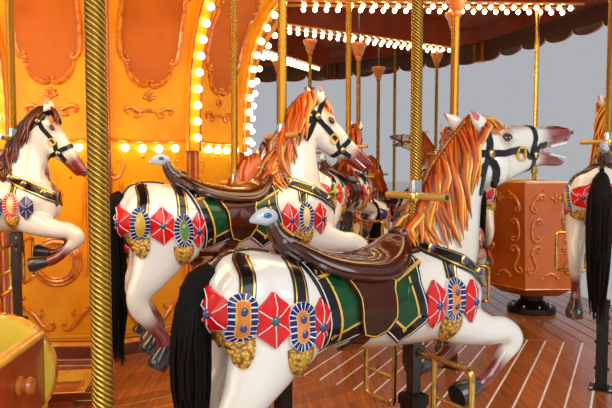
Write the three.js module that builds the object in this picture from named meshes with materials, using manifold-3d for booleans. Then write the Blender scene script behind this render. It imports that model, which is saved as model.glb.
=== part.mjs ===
import * as THREE from "three";
import { mergeVertices } from "three/addons/utils/BufferGeometryUtils.js";
import Module from "manifold-3d";

const wasm = await Module();
wasm.setup();

// Driving sizes in millimetres. The origin is the carousel's centre on the ground and +Z is up.
// The horses travel anticlockwise seen from above.
const SECTORS = 12;
const STEP = (2 * Math.PI) / SECTORS;
const HALF_STEP = STEP / 2;
const QUARTER_TURN = Math.PI / 2;
const FIT = 0.3;

const DECK_TOP = 300;
const DECK_R = 5150;
const BOARD_THICK = 42;
const TRAY_TOP = DECK_TOP - BOARD_THICK;
const SKIRT_BOTTOM = 90;
const BASE_TOP = 100;
const RING_TOP = 130;

const DRUM_R = 1346;
const DRUM_BASE_TOP = 420;
const DRUM_SPLIT = 1850;
const DRUM_WALL = 52;
const RIB_HALF = 60;
const RIB_PROUD = 32;

const SWEEP_BOTTOM = 3260;
const CEILING = 3600;
const CEILING_THICK = 30;
const CANOPY_R = 5120;
const RAIL_GAP = 62;
const RAIL_THICK = 50;

const MAST_R = 110;
const HUB_BORE_R = 111.6;
const ROUND_SIDES = 24;

const TRAVEL = 260;
const GUIDE_TOP = 880;
const GUIDE_SIZE = 70;
const SLIDER_SIZE = 40;
const SLIDER_CLEARANCE = 0.6;
const POLE_R = 22;
const RIM_R = 4830;
const RIM_POLE_R = 23;
const POST_SIDES = 12;

const CHARIOT_R = 3860;
const CHARIOT_HALF = 520;
const TUB_R = 4150;
const TUB_BASE = DECK_TOP + 200;
const CHARIOT_SECTORS = [9, 3, 6];
const TUB_SECTORS = [0, 4, 8];

// A horse is drawn at full size round this height above the deck, then scaled for its row.
// The inner row stands a little ahead of the other two.
const SCALE_CENTRE = 960;
const INNER_LEAD = (4 * Math.PI) / 180;
const ROWS = [
  { name: "outer", radius: 4300, size: 1, lead: 0, bowed: false, restHalf: 300 },
  { name: "middle", radius: 3330, size: 0.97, lead: 0, bowed: true, restHalf: 260 },
  { name: "inner", radius: 2450, size: 0.86, lead: INNER_LEAD, bowed: true, restHalf: 300 },
];

const FINISHES = {
  steel: { color: 0x3b3a3a, roughness: 0.6, metalness: 0.8 },
  wood: { color: 0x8a4726, roughness: 0.5, metalness: 0 },
  white: { color: 0xece6da, roughness: 0.25, metalness: 0 },
  brass: { color: 0xb98a2e, roughness: 0.3, metalness: 0.9 },
  orange: { color: 0xd9861f, roughness: 0.35, metalness: 0 },
  yellow: { color: 0xe3b32c, roughness: 0.35, metalness: 0 },
  red: { color: 0x9c2a1c, roughness: 0.4, metalness: 0 },
  brown: { color: 0xa2501c, roughness: 0.4, metalness: 0 },
};

function closedBody(positions, triangles) {
  const mesh = new wasm.Mesh({ numProp: 3, vertProperties: positions, triVerts: triangles });
  return new wasm.Manifold(mesh);
}

// A closed three.js geometry as a body that can be joined and cut.
function solid(geometry) {
  const bare = geometry.clone();
  bare.deleteAttribute("normal");
  bare.deleteAttribute("uv");
  const merged = mergeVertices(bare, 1e-3);
  const index = Array.from(merged.index.array);
  const kept = [];
  for (let i = 0; i < index.length; i += 3) {
    const [a, b, c] = index.slice(i, i + 3);
    if (a !== b && b !== c && c !== a) {
      kept.push(a, b, c);
    }
  }
  const positions = new Float32Array(merged.attributes.position.array);
  const body = closedBody(positions, new Uint32Array(kept));
  if (body.volume() > 0) {
    return body;
  }
  return closedBody(positions, new Uint32Array(kept.reverse()));
}

function joined(bodies) {
  return bodies.reduce((sum, body) => sum.add(body));
}

function lathe(profile, sides, turn) {
  const points = profile.map(([radius, z]) => new THREE.Vector2(radius, z));
  return new THREE.LatheGeometry(points, sides, turn + QUARTER_TURN).rotateX(QUARTER_TURN);
}

// A turned body, whose profile [radius, z] is closed at the axis. A corner lies at the angle turn.
function turned(profile, sides, turn = 0) {
  const bottom = profile[0][1];
  const top = profile[profile.length - 1][1];
  return solid(lathe([[0, bottom], ...profile, [0, top]], sides, turn));
}

function ring(outer, inner, z0, z1, sides, turn = 0) {
  return solid(lathe([[inner, z0], [outer, z0], [outer, z1], [inner, z1], [inner, z0]], sides, turn));
}

function block(x0, x1, y0, y1, z0, z1) {
  const geometry = new THREE.BoxGeometry(x1 - x0, y1 - y0, z1 - z0);
  return geometry.translate((x0 + x1) / 2, (y0 + y1) / 2, (z0 + z1) / 2);
}

// An outline [x, z], given thickness along Y from y0 to y1.
function plate(outline, y0, y1) {
  const shape = new THREE.Shape(outline.map(([x, z]) => new THREE.Vector2(x, z)));
  const geometry = new THREE.ExtrudeGeometry(shape, { depth: y1 - y0, bevelEnabled: false });
  return geometry.rotateX(QUARTER_TURN).translate(0, y1, 0);
}

// Copies of a geometry round the axis, joined.
function around(geometry, count, turn = 0) {
  const bodies = [];
  for (let i = 0; i < count; i += 1) {
    bodies.push(solid(geometry.clone().rotateZ(turn + (i * 2 * Math.PI) / count)));
  }
  return joined(bodies);
}

// A limb along the X-Z plane through stations [x, z, half size along, half size across, y].
function limb(stations, sides) {
  const position = [];
  stations.forEach(([x, z, along, across, y = 0], i) => {
    const before = stations[Math.max(i - 1, 0)];
    const after = stations[Math.min(i + 1, stations.length - 1)];
    const dx = after[0] - before[0];
    const dz = after[1] - before[1];
    const size = Math.hypot(dx, dz);
    for (let k = 0; k < sides; k += 1) {
      const angle = (2 * Math.PI * (k + 0.5)) / sides;
      const u = along * Math.cos(angle);
      position.push(x - (dz / size) * u, y + across * Math.sin(angle), z + (dx / size) * u);
    }
  });
  const index = [];
  const last = (stations.length - 1) * sides;
  for (let r = 0; r < last; r += sides) {
    for (let k = 0; k < sides; k += 1) {
      const a = r + k;
      const b = r + ((k + 1) % sides);
      index.push(a, b, b + sides, a, b + sides, a + sides);
    }
  }
  for (let k = 1; k < sides - 1; k += 1) {
    index.push(0, k + 1, k, last, last + k, last + k + 1);
  }
  const geometry = new THREE.BufferGeometry();
  geometry.setAttribute("position", new THREE.Float32BufferAttribute(position, 3));
  geometry.setIndex(index);
  return geometry;
}

// Base, deck and drum

function baseFrame() {
  const hub = turned([[460, 0], [460, BASE_TOP]], SECTORS);
  const beam = block(300, 4600, -60, 60, 0, BASE_TOP - 20);
  return joined([hub, around(beam, 6, HALF_STEP)]);
}

function deckFrame() {
  const hub = turned([[420, RING_TOP], [420, 190]], ROUND_SIDES);
  const tray = turned([[4950, TRAY_TOP - 80], [4950, TRAY_TOP]], SECTORS);
  const bore = turned([[HUB_BORE_R, RING_TOP - 10], [HUB_BORE_R, TRAY_TOP + 10]], ROUND_SIDES);
  return hub.add(tray).subtract(bore);
}

// The boards, with a square guide tube standing round each horse's slider.
function deck(seats) {
  const outer = GUIDE_SIZE / 2;
  const inner = SLIDER_SIZE / 2 + SLIDER_CLEARANCE;
  let floor = ring(DECK_R, 260, TRAY_TOP + FIT, DECK_TOP, SECTORS);
  for (const { radius, angle } of seats) {
    const guide = block(radius - outer, radius + outer, -outer, outer, DECK_TOP - 1, GUIDE_TOP);
    const bore = block(radius - inner, radius + inner, -inner, inner, DECK_TOP + 10, GUIDE_TOP + 10);
    floor = floor.add(solid(guide.rotateZ(angle)).subtract(solid(bore.rotateZ(angle))));
  }
  return floor;
}

// A hollow twelve-sided wall with a pilaster over each corner.
function ribbedDrum(profile) {
  const top = profile.length - 1;
  const hollow = profile.map(([r, z], i) => {
    const past = i === 0 ? -10 : i === top ? 10 : 0;
    return [r - DRUM_WALL, z + past];
  });
  const front = profile.map(([r, z]) => [r + RIB_PROUD, z]);
  const root = profile.map(([r, z]) => [r - DRUM_WALL + 6, z]).reverse();
  const wall = turned(profile, SECTORS, HALF_STEP).subtract(turned(hollow, SECTORS, HALF_STEP));
  return wall.add(around(plate([...front, ...root], -RIB_HALF, RIB_HALF), SECTORS, HALF_STEP));
}

function drumLower() {
  return ribbedDrum([[DRUM_R, DRUM_BASE_TOP + FIT], [DRUM_R, DRUM_SPLIT]]);
}

// The upper panels lean outwards to meet the sweeps.
function drumUpper() {
  const foot = [DRUM_R + 25, DRUM_SPLIT + FIT];
  return ribbedDrum([foot, [DRUM_R + 60, 2480], [DRUM_R + 185, 2920], [DRUM_R + 430, SWEEP_BOTTOM - FIT]]);
}

// Canopy and roof

function canopy() {
  const top = CEILING + CEILING_THICK;
  const lap = CEILING + 10;
  const ceiling = turned([[CANOPY_R, CEILING], [CANOPY_R, top]], SECTORS);
  const bore = turned([[HUB_BORE_R, CEILING - 5], [HUB_BORE_R, top + 10]], ROUND_SIDES);
  const hub = ring(1790, 1680, SWEEP_BOTTOM, lap, SECTORS, HALF_STEP);
  const edge = ring(CANOPY_R, CANOPY_R - 80, CEILING - 200, lap, SECTORS);
  const right = block(1700, 4560, -RAIL_GAP - RAIL_THICK, -RAIL_GAP, SWEEP_BOTTOM, lap);
  const left = block(1700, 4560, RAIL_GAP, RAIL_GAP + RAIL_THICK, SWEEP_BOTTOM, lap);
  return joined([ceiling.subtract(bore), hub, edge, around(right, SECTORS), around(left, SECTORS)]);
}

// Twelve boards with pointed lower edges and arched tops, which close the canopy's sides.
function roundingBoards() {
  const thick = 35;
  const inner = CANOPY_R * Math.cos(HALF_STEP) + FIT;
  const half = (CANOPY_R + thick) * Math.sin(HALF_STEP);
  const points = 4;
  const pitch = (2 * half) / points;
  const outline = [];
  for (let i = 0; i < points; i += 1) {
    outline.push([-half + i * pitch, 3230], [-half + (i + 0.5) * pitch, 3130]);
  }
  outline.push([half, 3230], [half, 3900], [half * 0.4, 4100], [-half * 0.4, 4100], [-half, 3900]);
  const board = plate(outline, -thick, 0).translate(0, -inner, 0);
  return around(board, SECTORS, HALF_STEP);
}

function roof() {
  const eaves = CEILING + CEILING_THICK + FIT;
  const skin = turned([[CANOPY_R - 10, eaves], [CANOPY_R - 10, eaves + 60], [300, 5150]], SECTORS);
  const hollow = turned([[5020, eaves - 5], [5020, eaves + 5], [200, 5085], [200, 5200]], SECTORS);
  return skin.subtract(hollow);
}

function finial() {
  const z = 5150 + FIT;
  const bowl = [[320, z], [320, z + 60], [200, z + 110], [230, z + 300]];
  const spike = [[60, z + 420], [120, z + 540], [14, z + 820]];
  return turned([...bowl, ...spike], 8);
}

function rimPole() {
  const foot = [[60, DECK_TOP + FIT], [46, DECK_TOP + 40], [RIM_POLE_R, DECK_TOP + 60]];
  return turned([...foot, [RIM_POLE_R, CEILING - FIT]], 6);
}

// Horses. Heights are above the deck with the horse at the bottom of its travel, x points
// forwards from the pole and y towards the centre. Body stations run from rump to nose.
const TRUNK = [
  [-880, 1050, 60, 60],
  [-760, 1035, 140, 140],
  [-350, 985, 145, 165],
  [60, 985, 170, 165],
];

const LIFTED_HEAD = [
  [190, 1130, 160, 100],
  [240, 1345, 122, 64],
  [395, 1495, 116, 60],
  [620, 1508, 92, 48],
  [905, 1518, 62, 36],
];

const BOWED_HEAD = [
  [180, 1130, 158, 100],
  [190, 1335, 112, 62],
  [275, 1450, 95, 58],
  [400, 1350, 70, 46],
  [505, 1190, 42, 32],
];

// Each leg runs from shoulder or hip through the joints to the folded hoof.
const LEGS = [
  [[150, 920, 100, 60, -90], [350, 825, 58, 42, -110], [290, 620, 30, 24, -110], [185, 590, 42, 38, -110]],
  [[150, 900, 100, 60, 90], [310, 770, 55, 42, 110], [230, 620, 30, 24, 110], [130, 640, 42, 38, 110]],
  [[-660, 960, 160, 70, -105], [-820, 660, 50, 36, -120], [-770, 450, 30, 24, -120], [-850, 370, 44, 38, -120]],
  [[-640, 960, 160, 70, 105], [-770, 650, 50, 36, 120], [-650, 470, 30, 24, 120], [-710, 380, 44, 38, 120]],
];

const TAIL = [
  [-850, 1110, 40, 40],
  [-965, 900, 75, 62],
  [-930, 450, 30, 28],
];

const SADDLE = [
  [-680, 1290, 34, 34],
  [-430, 1110, 64, 125],
  [-60, 1180, 40, 60],
];

function figure(row) {
  const head = row.bowed ? BOWED_HEAD : LIFTED_HEAD;
  const limbs = [limb([...TRUNK, ...head], 6), limb(TAIL, 3), limb(SADDLE, 4)];
  for (const leg of LEGS) {
    limbs.push(limb(leg, 3));
  }
  const sized = limbs.map((part) => {
    const centred = part.translate(0, 0, -SCALE_CENTRE).scale(row.size, row.size, row.size);
    return solid(centred.translate(0, 0, SCALE_CENTRE));
  });
  return joined(sized);
}

// A bar through the pole with a stirrup hanging from each end.
function footRest(half) {
  const bar = 22;
  const right = [[half - bar, 730], [half - bar, 502], [90, 502], [90, 480], [half, 480], [half, 752]];
  const left = right.map(([y, z]) => [-y, z]).reverse();
  return plate([...right, ...left], -bar / 2, bar / 2).rotateZ(QUARTER_TURN);
}

function horse(row) {
  const h = SLIDER_SIZE / 2;
  const shaft = turned([[POLE_R, 1000], [POLE_R, 2500], [84, 2600], [11, 2640], [11, 2990]], 5);
  const slider = block(-h, h, -h, h, 40, 900);
  return joined([figure(row), shaft, solid(slider), solid(footRest(row.restHalf))]);
}

// Chariots and spinning tubs, drawn from the deck up

function chariotShell() {
  const wide = CHARIOT_HALF;
  const scroll = [];
  const steps = 8;
  for (let i = 0; i <= steps; i += 1) {
    const angle = -1.3 + (3.6 * i) / steps;
    scroll.push([440 + 250 * Math.cos(angle), 560 + 250 * Math.sin(angle)]);
  }
  const arm = [[180, 600], [40, 480], [-300, 620], [-520, 980]];
  const back = [[-700, 1000], [-720, 700], [-620, 300]];
  const outline = [[-560, 0], [420, 0], ...scroll, ...arm, ...back];
  const right = plate(outline, -wide - 30, -wide + 30);
  const left = plate(outline, wide - 30, wide + 30);
  const floor = block(-560, 420, -wide, wide, 0, 120);
  const kickBoard = block(330, 380, -wide, wide, 60, 480);
  const frontBoard = block(600, 650, -wide, wide, 395, 720);
  return joined([right, left, floor, kickBoard, frontBoard].map(solid));
}

function chariotSeat() {
  const wide = CHARIOT_HALF - 30 - FIT;
  const bench = block(-540, -120, -wide, wide, 120 + FIT, 450);
  const back = block(-600, -520, -wide, wide, 370, 900);
  return joined([solid(bench), solid(back)]);
}

// A six-sided tub with a dished underside, a ring seat, a foot well, an entry and a bore
// round its post.
function tubShell() {
  const high = 1080;
  const turn = Math.PI / 6;
  const skin = turned([[300, 0], [450, 90], [585, high]], 6, turn);
  const room = turned([[480, 430], [557, high + 10]], 6, turn);
  const well = turned([[250, 60], [250, 440]], 6, turn);
  const bore = turned([[POLE_R + 1.4, -10], [POLE_R + 1.4, high + 10]], POST_SIDES);
  const entry = solid(block(-200, 200, -700, -250, 430, high + 10).rotateZ(turn));
  return skin.subtract(room).subtract(well).subtract(entry).subtract(bore);
}

function tubPost() {
  const foot = [[230, 0], [230, 60], [110, 120], [110, 200 - 2 * FIT]];
  const pole = [[POLE_R, 200 - FIT], [POLE_R, CEILING - DECK_TOP - 2 * FIT]];
  return turned([...foot, ...pole], POST_SIDES);
}

function toMesh(body, name, finish) {
  const data = body.getMesh();
  const geometry = new THREE.BufferGeometry();
  geometry.setAttribute("position", new THREE.BufferAttribute(data.vertProperties, data.numProp));
  geometry.setIndex(new THREE.BufferAttribute(data.triVerts, 1));
  geometry.computeVertexNormals();
  const material = new THREE.MeshStandardMaterial({ ...FINISHES[finish], flatShading: true });
  const mesh = new THREE.Mesh(geometry, material);
  mesh.name = name;
  return mesh;
}

// The seats of each sector: a horse in each row, unless a chariot or a tub takes its place.
function horseSeats() {
  const seats = [];
  for (let k = 0; k < SECTORS; k += 1) {
    const taken = CHARIOT_SECTORS.includes(k) ? 2 : TUB_SECTORS.includes(k) ? 1 : 0;
    ROWS.forEach((row, i) => {
      if (i >= taken) {
        seats.push({ k, row, radius: row.radius, angle: k * STEP + row.lead, low: (k + i) % 2 === 0 });
      }
    });
  }
  return seats;
}

const carousel = new THREE.Group();
carousel.name = "fairground_carousel";

function add(mesh) {
  carousel.add(mesh);
}

// Puts a mesh in a group turned to an angle, at a radius, facing the way of travel.
function addAt(mesh, angle, radius, z) {
  const arm = new THREE.Group();
  arm.rotation.z = angle;
  mesh.rotation.z = QUARTER_TURN;
  mesh.position.set(radius, 0, z);
  arm.add(mesh);
  carousel.add(arm);
}

const seats = horseSeats();
add(toMesh(baseFrame(), "base_frame", "steel"));
add(toMesh(ring(400, 150, BASE_TOP + FIT, RING_TOP - 0.5, ROUND_SIDES), "slew_ring", "steel"));
add(toMesh(turned([[MAST_R, BASE_TOP + FIT], [MAST_R, CEILING + 90]], ROUND_SIDES), "centre_mast", "steel"));
add(toMesh(deckFrame(), "deck_frame", "steel"));
add(toMesh(deck(seats), "deck", "wood"));
add(toMesh(ring(DECK_R, DECK_R - 32, SKIRT_BOTTOM, TRAY_TOP, SECTORS), "deck_skirt", "red"));
const plinth = ring(DRUM_R + 59, DRUM_R - 46, DECK_TOP + FIT, DRUM_BASE_TOP, SECTORS, HALF_STEP);
add(toMesh(plinth, "drum_base", "brown"));
add(toMesh(drumLower(), "drum_lower", "orange"));
add(toMesh(drumUpper(), "drum_upper", "yellow"));
add(toMesh(canopy(), "canopy", "red"));
add(toMesh(roundingBoards(), "rounding_boards", "orange"));
add(toMesh(roof(), "roof", "red"));
add(toMesh(finial(), "finial", "brass"));

for (let i = 0; i < SECTORS / 2; i += 1) {
  addAt(toMesh(rimPole(), `rim_pole_${i + 1}`, "brass"), (2 * i + 1.5) * STEP, RIM_R, 0);
}
for (const k of CHARIOT_SECTORS) {
  const floor = DECK_TOP + FIT;
  addAt(toMesh(chariotShell(), `chariot_${k}_shell`, "yellow"), k * STEP, CHARIOT_R, floor);
  addAt(toMesh(chariotSeat(), `chariot_${k}_seat`, "brown"), k * STEP, CHARIOT_R, floor);
}
for (const k of TUB_SECTORS) {
  const shell = toMesh(tubShell(), `tub_${k}_shell`, "orange");
  addAt(shell, k * STEP, TUB_R, TUB_BASE);
  addAt(toMesh(tubPost(), `tub_${k}_post`, "brass"), k * STEP, TUB_R, DECK_TOP + FIT);
}
const bodies = new Map(ROWS.map((row) => [row, horse(row)]));
for (const { k, row, radius, angle, low } of seats) {
  const name = `horse_${row.name}_${String(k).padStart(2, "0")}`;
  addAt(toMesh(bodies.get(row), name, "white"), angle, radius, DECK_TOP + (low ? 0 : TRAVEL));
}

export default carousel;
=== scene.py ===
"""Looks of a fairground carousel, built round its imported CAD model. Metres, +Z up."""

import math
from functools import cache

import bpy
import numpy as np
from mathutils import Matrix, Vector
from mathutils.bvhtree import BVHTree
from mathutils.geometry import tessellate_polygon


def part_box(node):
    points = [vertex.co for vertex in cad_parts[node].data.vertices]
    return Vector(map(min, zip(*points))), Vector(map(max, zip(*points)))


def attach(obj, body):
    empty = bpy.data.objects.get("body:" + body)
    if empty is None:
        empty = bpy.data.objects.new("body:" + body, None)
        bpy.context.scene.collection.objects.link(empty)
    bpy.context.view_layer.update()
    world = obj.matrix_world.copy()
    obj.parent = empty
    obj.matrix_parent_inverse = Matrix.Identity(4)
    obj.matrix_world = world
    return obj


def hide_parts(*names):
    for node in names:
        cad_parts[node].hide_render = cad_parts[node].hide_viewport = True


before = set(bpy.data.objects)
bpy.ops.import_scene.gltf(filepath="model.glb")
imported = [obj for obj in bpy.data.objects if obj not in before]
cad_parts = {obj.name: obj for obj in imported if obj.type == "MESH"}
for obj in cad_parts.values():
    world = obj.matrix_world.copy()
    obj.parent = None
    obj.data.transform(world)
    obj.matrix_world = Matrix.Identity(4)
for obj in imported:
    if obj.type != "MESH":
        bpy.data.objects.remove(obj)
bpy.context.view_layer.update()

# Driving sizes, read from the frame or repeated from the CAD part.
DECK_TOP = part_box("drum_base")[0].z
SECTORS = 12
STEP = 2 * math.pi / SECTORS
FLAT = math.cos(STEP / 2)
ROW_RADIUS = {"outer": 4.30, "middle": 3.33, "inner": 2.45}
ROW_LEAD = {"outer": 0.0, "middle": 0.0, "inner": math.radians(4)}
ROW_SCALE = {"outer": 1.0, "middle": 0.97, "inner": 0.86}
SCALE_CENTRE_Z = 0.96
TRAVEL = 0.26
RIM_RADIUS = 4.83
DECK_RADIUS = 5.15
SWEEP_BOTTOM = 3.26
CEILING = 3.60


class Shape:
    """Collects faces and their finishes, then becomes one mesh."""

    def __init__(self):
        self.points = []
        self.faces = []
        self.finishes = []
        self.paint = []
        self.count = 0

    def add(self, points, faces, finish, paint=(1, 1, 1)):
        points = np.asarray(points, float).reshape(-1, 3)
        self.points.append(points)
        names = finish if isinstance(finish, list) else [finish] * len(faces)
        for face, name in zip(faces, names):
            self.faces.append([i + self.count for i in face])
            self.finishes.append(name)
        colours = np.asarray(paint, float)
        if colours.ndim == 1:
            colours = np.tile(colours, (len(points), 1))
        self.paint.append(colours)
        self.count += len(points)

    def mesh(self, name):
        mesh = bpy.data.meshes.new(name)
        mesh.from_pydata(np.concatenate(self.points).tolist(), [], self.faces)
        used = sorted(set(self.finishes))
        for finish in used:
            mesh.materials.append(material(finish))
        slots = {finish: i for i, finish in enumerate(used)}
        mesh.polygons.foreach_set("material_index", [slots[f] for f in self.finishes])
        mesh.polygons.foreach_set("use_smooth", [True] * len(self.faces))
        layer = mesh.attributes.new("paint", "FLOAT_COLOR", "POINT")
        rgba = np.ones((self.count, 4), np.float32)
        rgba[:, :3] = np.concatenate(self.paint)
        layer.data.foreach_set("color", rgba.ravel())
        mesh.update()
        mesh.validate()
        return mesh


def linked(name, data):
    """An object added to the scene."""
    obj = bpy.data.objects.new(name, data)
    bpy.context.scene.collection.objects.link(obj)
    return obj


def place(mesh, name, body, matrix, replaces=(), crease=40):
    """One object from a mesh, riding on a CAD body."""
    obj = linked(name, mesh)
    if matrix is not None:
        obj.matrix_world = matrix
    if crease:
        mesh.set_sharp_from_angle(angle=math.radians(crease))
    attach(obj, body)
    if replaces:
        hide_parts(*replaces)
    return obj


def applied(obj):
    """The mesh that an object's modifiers give; the object goes."""
    graph = bpy.context.evaluated_depsgraph_get()
    mesh = bpy.data.meshes.new_from_object(obj.evaluated_get(graph))
    bpy.data.objects.remove(obj)
    return mesh


def thinned(mesh, ratio):
    """The same mesh with a share of its faces, for pieces that are small in view."""
    obj = linked("thin", mesh)
    obj.modifiers.new("thin", "DECIMATE").ratio = ratio
    return applied(obj)


def fixed(shape, name, replaces=(), crease=40, share=1.0):
    """A piece fixed to the turning platform, thinned to a share of its faces."""
    mesh = shape.mesh(name)
    if share < 1:
        mesh = thinned(mesh, share)
    return place(mesh, name, "turntable", None, replaces, crease)


def ring_angles(count):
    """Angles spread evenly round a circle."""
    return [2 * math.pi * k / count for k in range(count)]


def spline(points, count):
    """Points on a smooth curve through the given ones, evenly spread between them."""
    p = np.asarray(points, float)
    p = np.vstack([2 * p[0] - p[1], p, 2 * p[-1] - p[-2]])
    spans = len(p) - 3
    out = []
    for t in np.linspace(0, spans, count):
        i = min(int(t), spans - 1)
        u = t - i
        a, b, c, d = p[i : i + 4]
        bend = (2 * a - 5 * b + 4 * c - d) * u**2 + (3 * b - a - 3 * c + d) * u**3
        out.append(0.5 * (2 * b + (c - a) * u + bend))
    return np.array(out)


def grid_faces(rows, columns, closed=True):
    """Quads of a grid of points whose rows may close on themselves."""
    faces = []
    last = columns if closed else columns - 1
    for r in range(rows - 1):
        for c in range(last):
            a = r * columns + c
            b = r * columns + (c + 1) % columns
            faces.append([a, b, b + columns, a + columns])
    return faces


def capped(rows, columns):
    """A closed grid with a face over each end."""
    faces = grid_faces(rows, columns)
    faces.append(list(range(columns))[::-1])
    faces.append([(rows - 1) * columns + c for c in range(columns)])
    return faces


def limb(stations, samples, sides):
    """A closed round limb through stations x, z, half size along, half size across, y."""
    full = [list(s) + [0.0] * (5 - len(s)) for s in stations]
    s = spline(full, samples)
    s[:, 2:4] = np.maximum(s[:, 2:4], 0.002)
    path = np.column_stack([s[:, 0], s[:, 4], s[:, 1]])
    tangent = np.gradient(path, axis=0)
    tangent /= np.linalg.norm(tangent, axis=1)[:, None]
    across = np.array([0.0, 1.0, 0.0])
    points = []
    for centre, t, (along, wide) in zip(path, tangent, s[:, 2:4]):
        side = across - t * (across @ t)
        side /= np.linalg.norm(side)
        up = np.cross(t, side)
        for a in ring_angles(sides):
            points.append(centre + up * along * math.cos(a) + side * wide * math.sin(a))
    return np.array(points), capped(samples, sides)


def rod(path, radius, sides=8, flat=1.0):
    """A tube along a path. radius is one number or one for each point."""
    path = np.asarray(path, float)
    radii = np.broadcast_to(np.asarray(radius, float), (len(path),))
    tangent = np.gradient(path, axis=0)
    tangent /= np.maximum(np.linalg.norm(tangent, axis=1), 1e-9)[:, None]
    up = np.array([0.0, 0.0, 1.0])
    if abs(tangent[0] @ up) > 0.9:
        up = np.array([1.0, 0.0, 0.0])
    points = []
    for p, t, r in zip(path, tangent, radii):
        up = up - t * (up @ t)
        up /= np.linalg.norm(up)
        side = np.cross(t, up)
        for a in ring_angles(sides):
            points.append(p + r * (math.cos(a) * up * flat + math.sin(a) * side))
    return np.array(points), capped(len(path), sides)


def ball(centre, radius, rings=5, sides=8, squash=(1, 1, 1)):
    """A ball of a few rings, flat at its poles, squashed along the axes."""
    points = []
    for r in range(rings):
        lat = math.pi * (r + 0.5) / rings
        for a in ring_angles(sides):
            points.append([math.sin(lat) * math.cos(a), math.sin(lat) * math.sin(a), math.cos(lat)])
    points = np.array(points) * radius * np.array(squash) + np.array(centre)
    return points, [f[::-1] for f in capped(rings, sides)]


def lathe(profile, sides, turn=0.0, centre=(0.0, 0.0)):
    """A turned form: radius and height pairs swept round an upright axis."""
    x, y = centre
    points = []
    for radius, z in profile:
        for a in ring_angles(sides):
            points.append([x + radius * math.cos(turn + a), y + radius * math.sin(turn + a), z])
    return np.array(points), capped(len(profile), sides)


def turn_z(points, angle):
    c, s = math.cos(angle), math.sin(angle)
    return np.asarray(points) @ np.array([[c, s, 0], [-s, c, 0], [0, 0, 1]])


# Materials


def node_material(name):
    mat = bpy.data.materials.new(name)
    mat.use_nodes = True
    return mat, mat.node_tree, mat.node_tree.nodes["Principled BSDF"]


def mixed(tree, factor, a, b, mode="MIX"):
    """A colour mix node; a, b and factor are sockets or values."""
    node = tree.nodes.new("ShaderNodeMix")
    node.data_type = "RGBA"
    node.blend_type = mode
    for socket, value in ((node.inputs[0], factor), (node.inputs[6], a), (node.inputs[7], b)):
        if isinstance(value, bpy.types.NodeSocket):
            tree.links.new(value, socket)
        elif isinstance(value, (int, float)):
            socket.default_value = value
        else:
            socket.default_value = (*value, 1)
    return node.outputs[2]


def noise(tree, scale, detail, stretch=(1, 1, 1), distortion=0.0):
    coords = tree.nodes.new("ShaderNodeTexCoord")
    mapping = tree.nodes.new("ShaderNodeMapping")
    mapping.inputs["Scale"].default_value = stretch
    node = tree.nodes.new("ShaderNodeTexNoise")
    node.inputs["Scale"].default_value = scale
    node.inputs["Detail"].default_value = detail
    node.inputs["Distortion"].default_value = distortion
    tree.links.new(coords.outputs["Object"], mapping.inputs["Vector"])
    tree.links.new(mapping.outputs["Vector"], node.inputs["Vector"])
    return node.outputs["Fac"]


def ramp(tree, factor, low, high):
    node = tree.nodes.new("ShaderNodeMapRange")
    node.inputs["From Min"].default_value = low
    node.inputs["From Max"].default_value = high
    tree.links.new(factor, node.inputs["Value"])
    return node.outputs["Result"]


def bump(tree, shader, height, strength, distance):
    node = tree.nodes.new("ShaderNodeBump")
    node.inputs["Strength"].default_value = strength
    node.inputs["Distance"].default_value = distance
    tree.links.new(height, node.inputs["Height"])
    tree.links.new(node.outputs["Normal"], shader.inputs["Normal"])


def with_paint(tree, base):
    """A colour multiplied by the mesh's own paint."""
    attribute = tree.nodes.new("ShaderNodeAttribute")
    attribute.attribute_name = "paint"
    return mixed(tree, 1.0, base, attribute.outputs["Color"], "MULTIPLY")


def gloss_paint(name, colour, worn, rough=0.22, coat=1.0, scale=9.0, shine=0.5, painted=False):
    """Gloss enamel over a moulded shell, a little uneven, in another tone where it has worn."""
    mat, tree, shader = node_material(name)
    patches = ramp(tree, noise(tree, scale, 5), 0.42, 0.75)
    base = mixed(tree, patches, colour, worn)
    if painted:
        base = with_paint(tree, base)
    tree.links.new(base, shader.inputs["Base Color"])
    shader.inputs["Roughness"].default_value = rough
    shader.inputs["Specular IOR Level"].default_value = shine
    shader.inputs["Coat Weight"].default_value = coat
    shader.inputs["Coat Roughness"].default_value = 0.05
    bump(tree, shader, noise(tree, 60, 3), 0.06, 0.002)
    return mat


def metal(name, colour, rough, dark=None, scale=30.0):
    """Polished or brushed metal with darker patches."""
    mat, tree, shader = node_material(name)
    patches = ramp(tree, noise(tree, scale, 4), 0.45, 0.75)
    tint = mixed(tree, patches, colour, dark or tuple(c * 0.6 for c in colour))
    tree.links.new(tint, shader.inputs["Base Color"])
    shader.inputs["Metallic"].default_value = 1.0
    shader.inputs["Roughness"].default_value = rough
    bump(tree, shader, noise(tree, 90, 3), 0.08, 0.001)
    return mat


def number_node(tree, operation, *values):
    """A maths node fed with sockets or plain numbers."""
    node = tree.nodes.new("ShaderNodeMath")
    node.operation = operation
    for i, value in enumerate(values):
        if isinstance(value, (int, float)):
            node.inputs[i].default_value = value
        else:
            tree.links.new(value, node.inputs[i])
    return node.outputs[0]


ROPE_PITCH = 0.012
ROPE_STRANDS = 8.0


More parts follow.
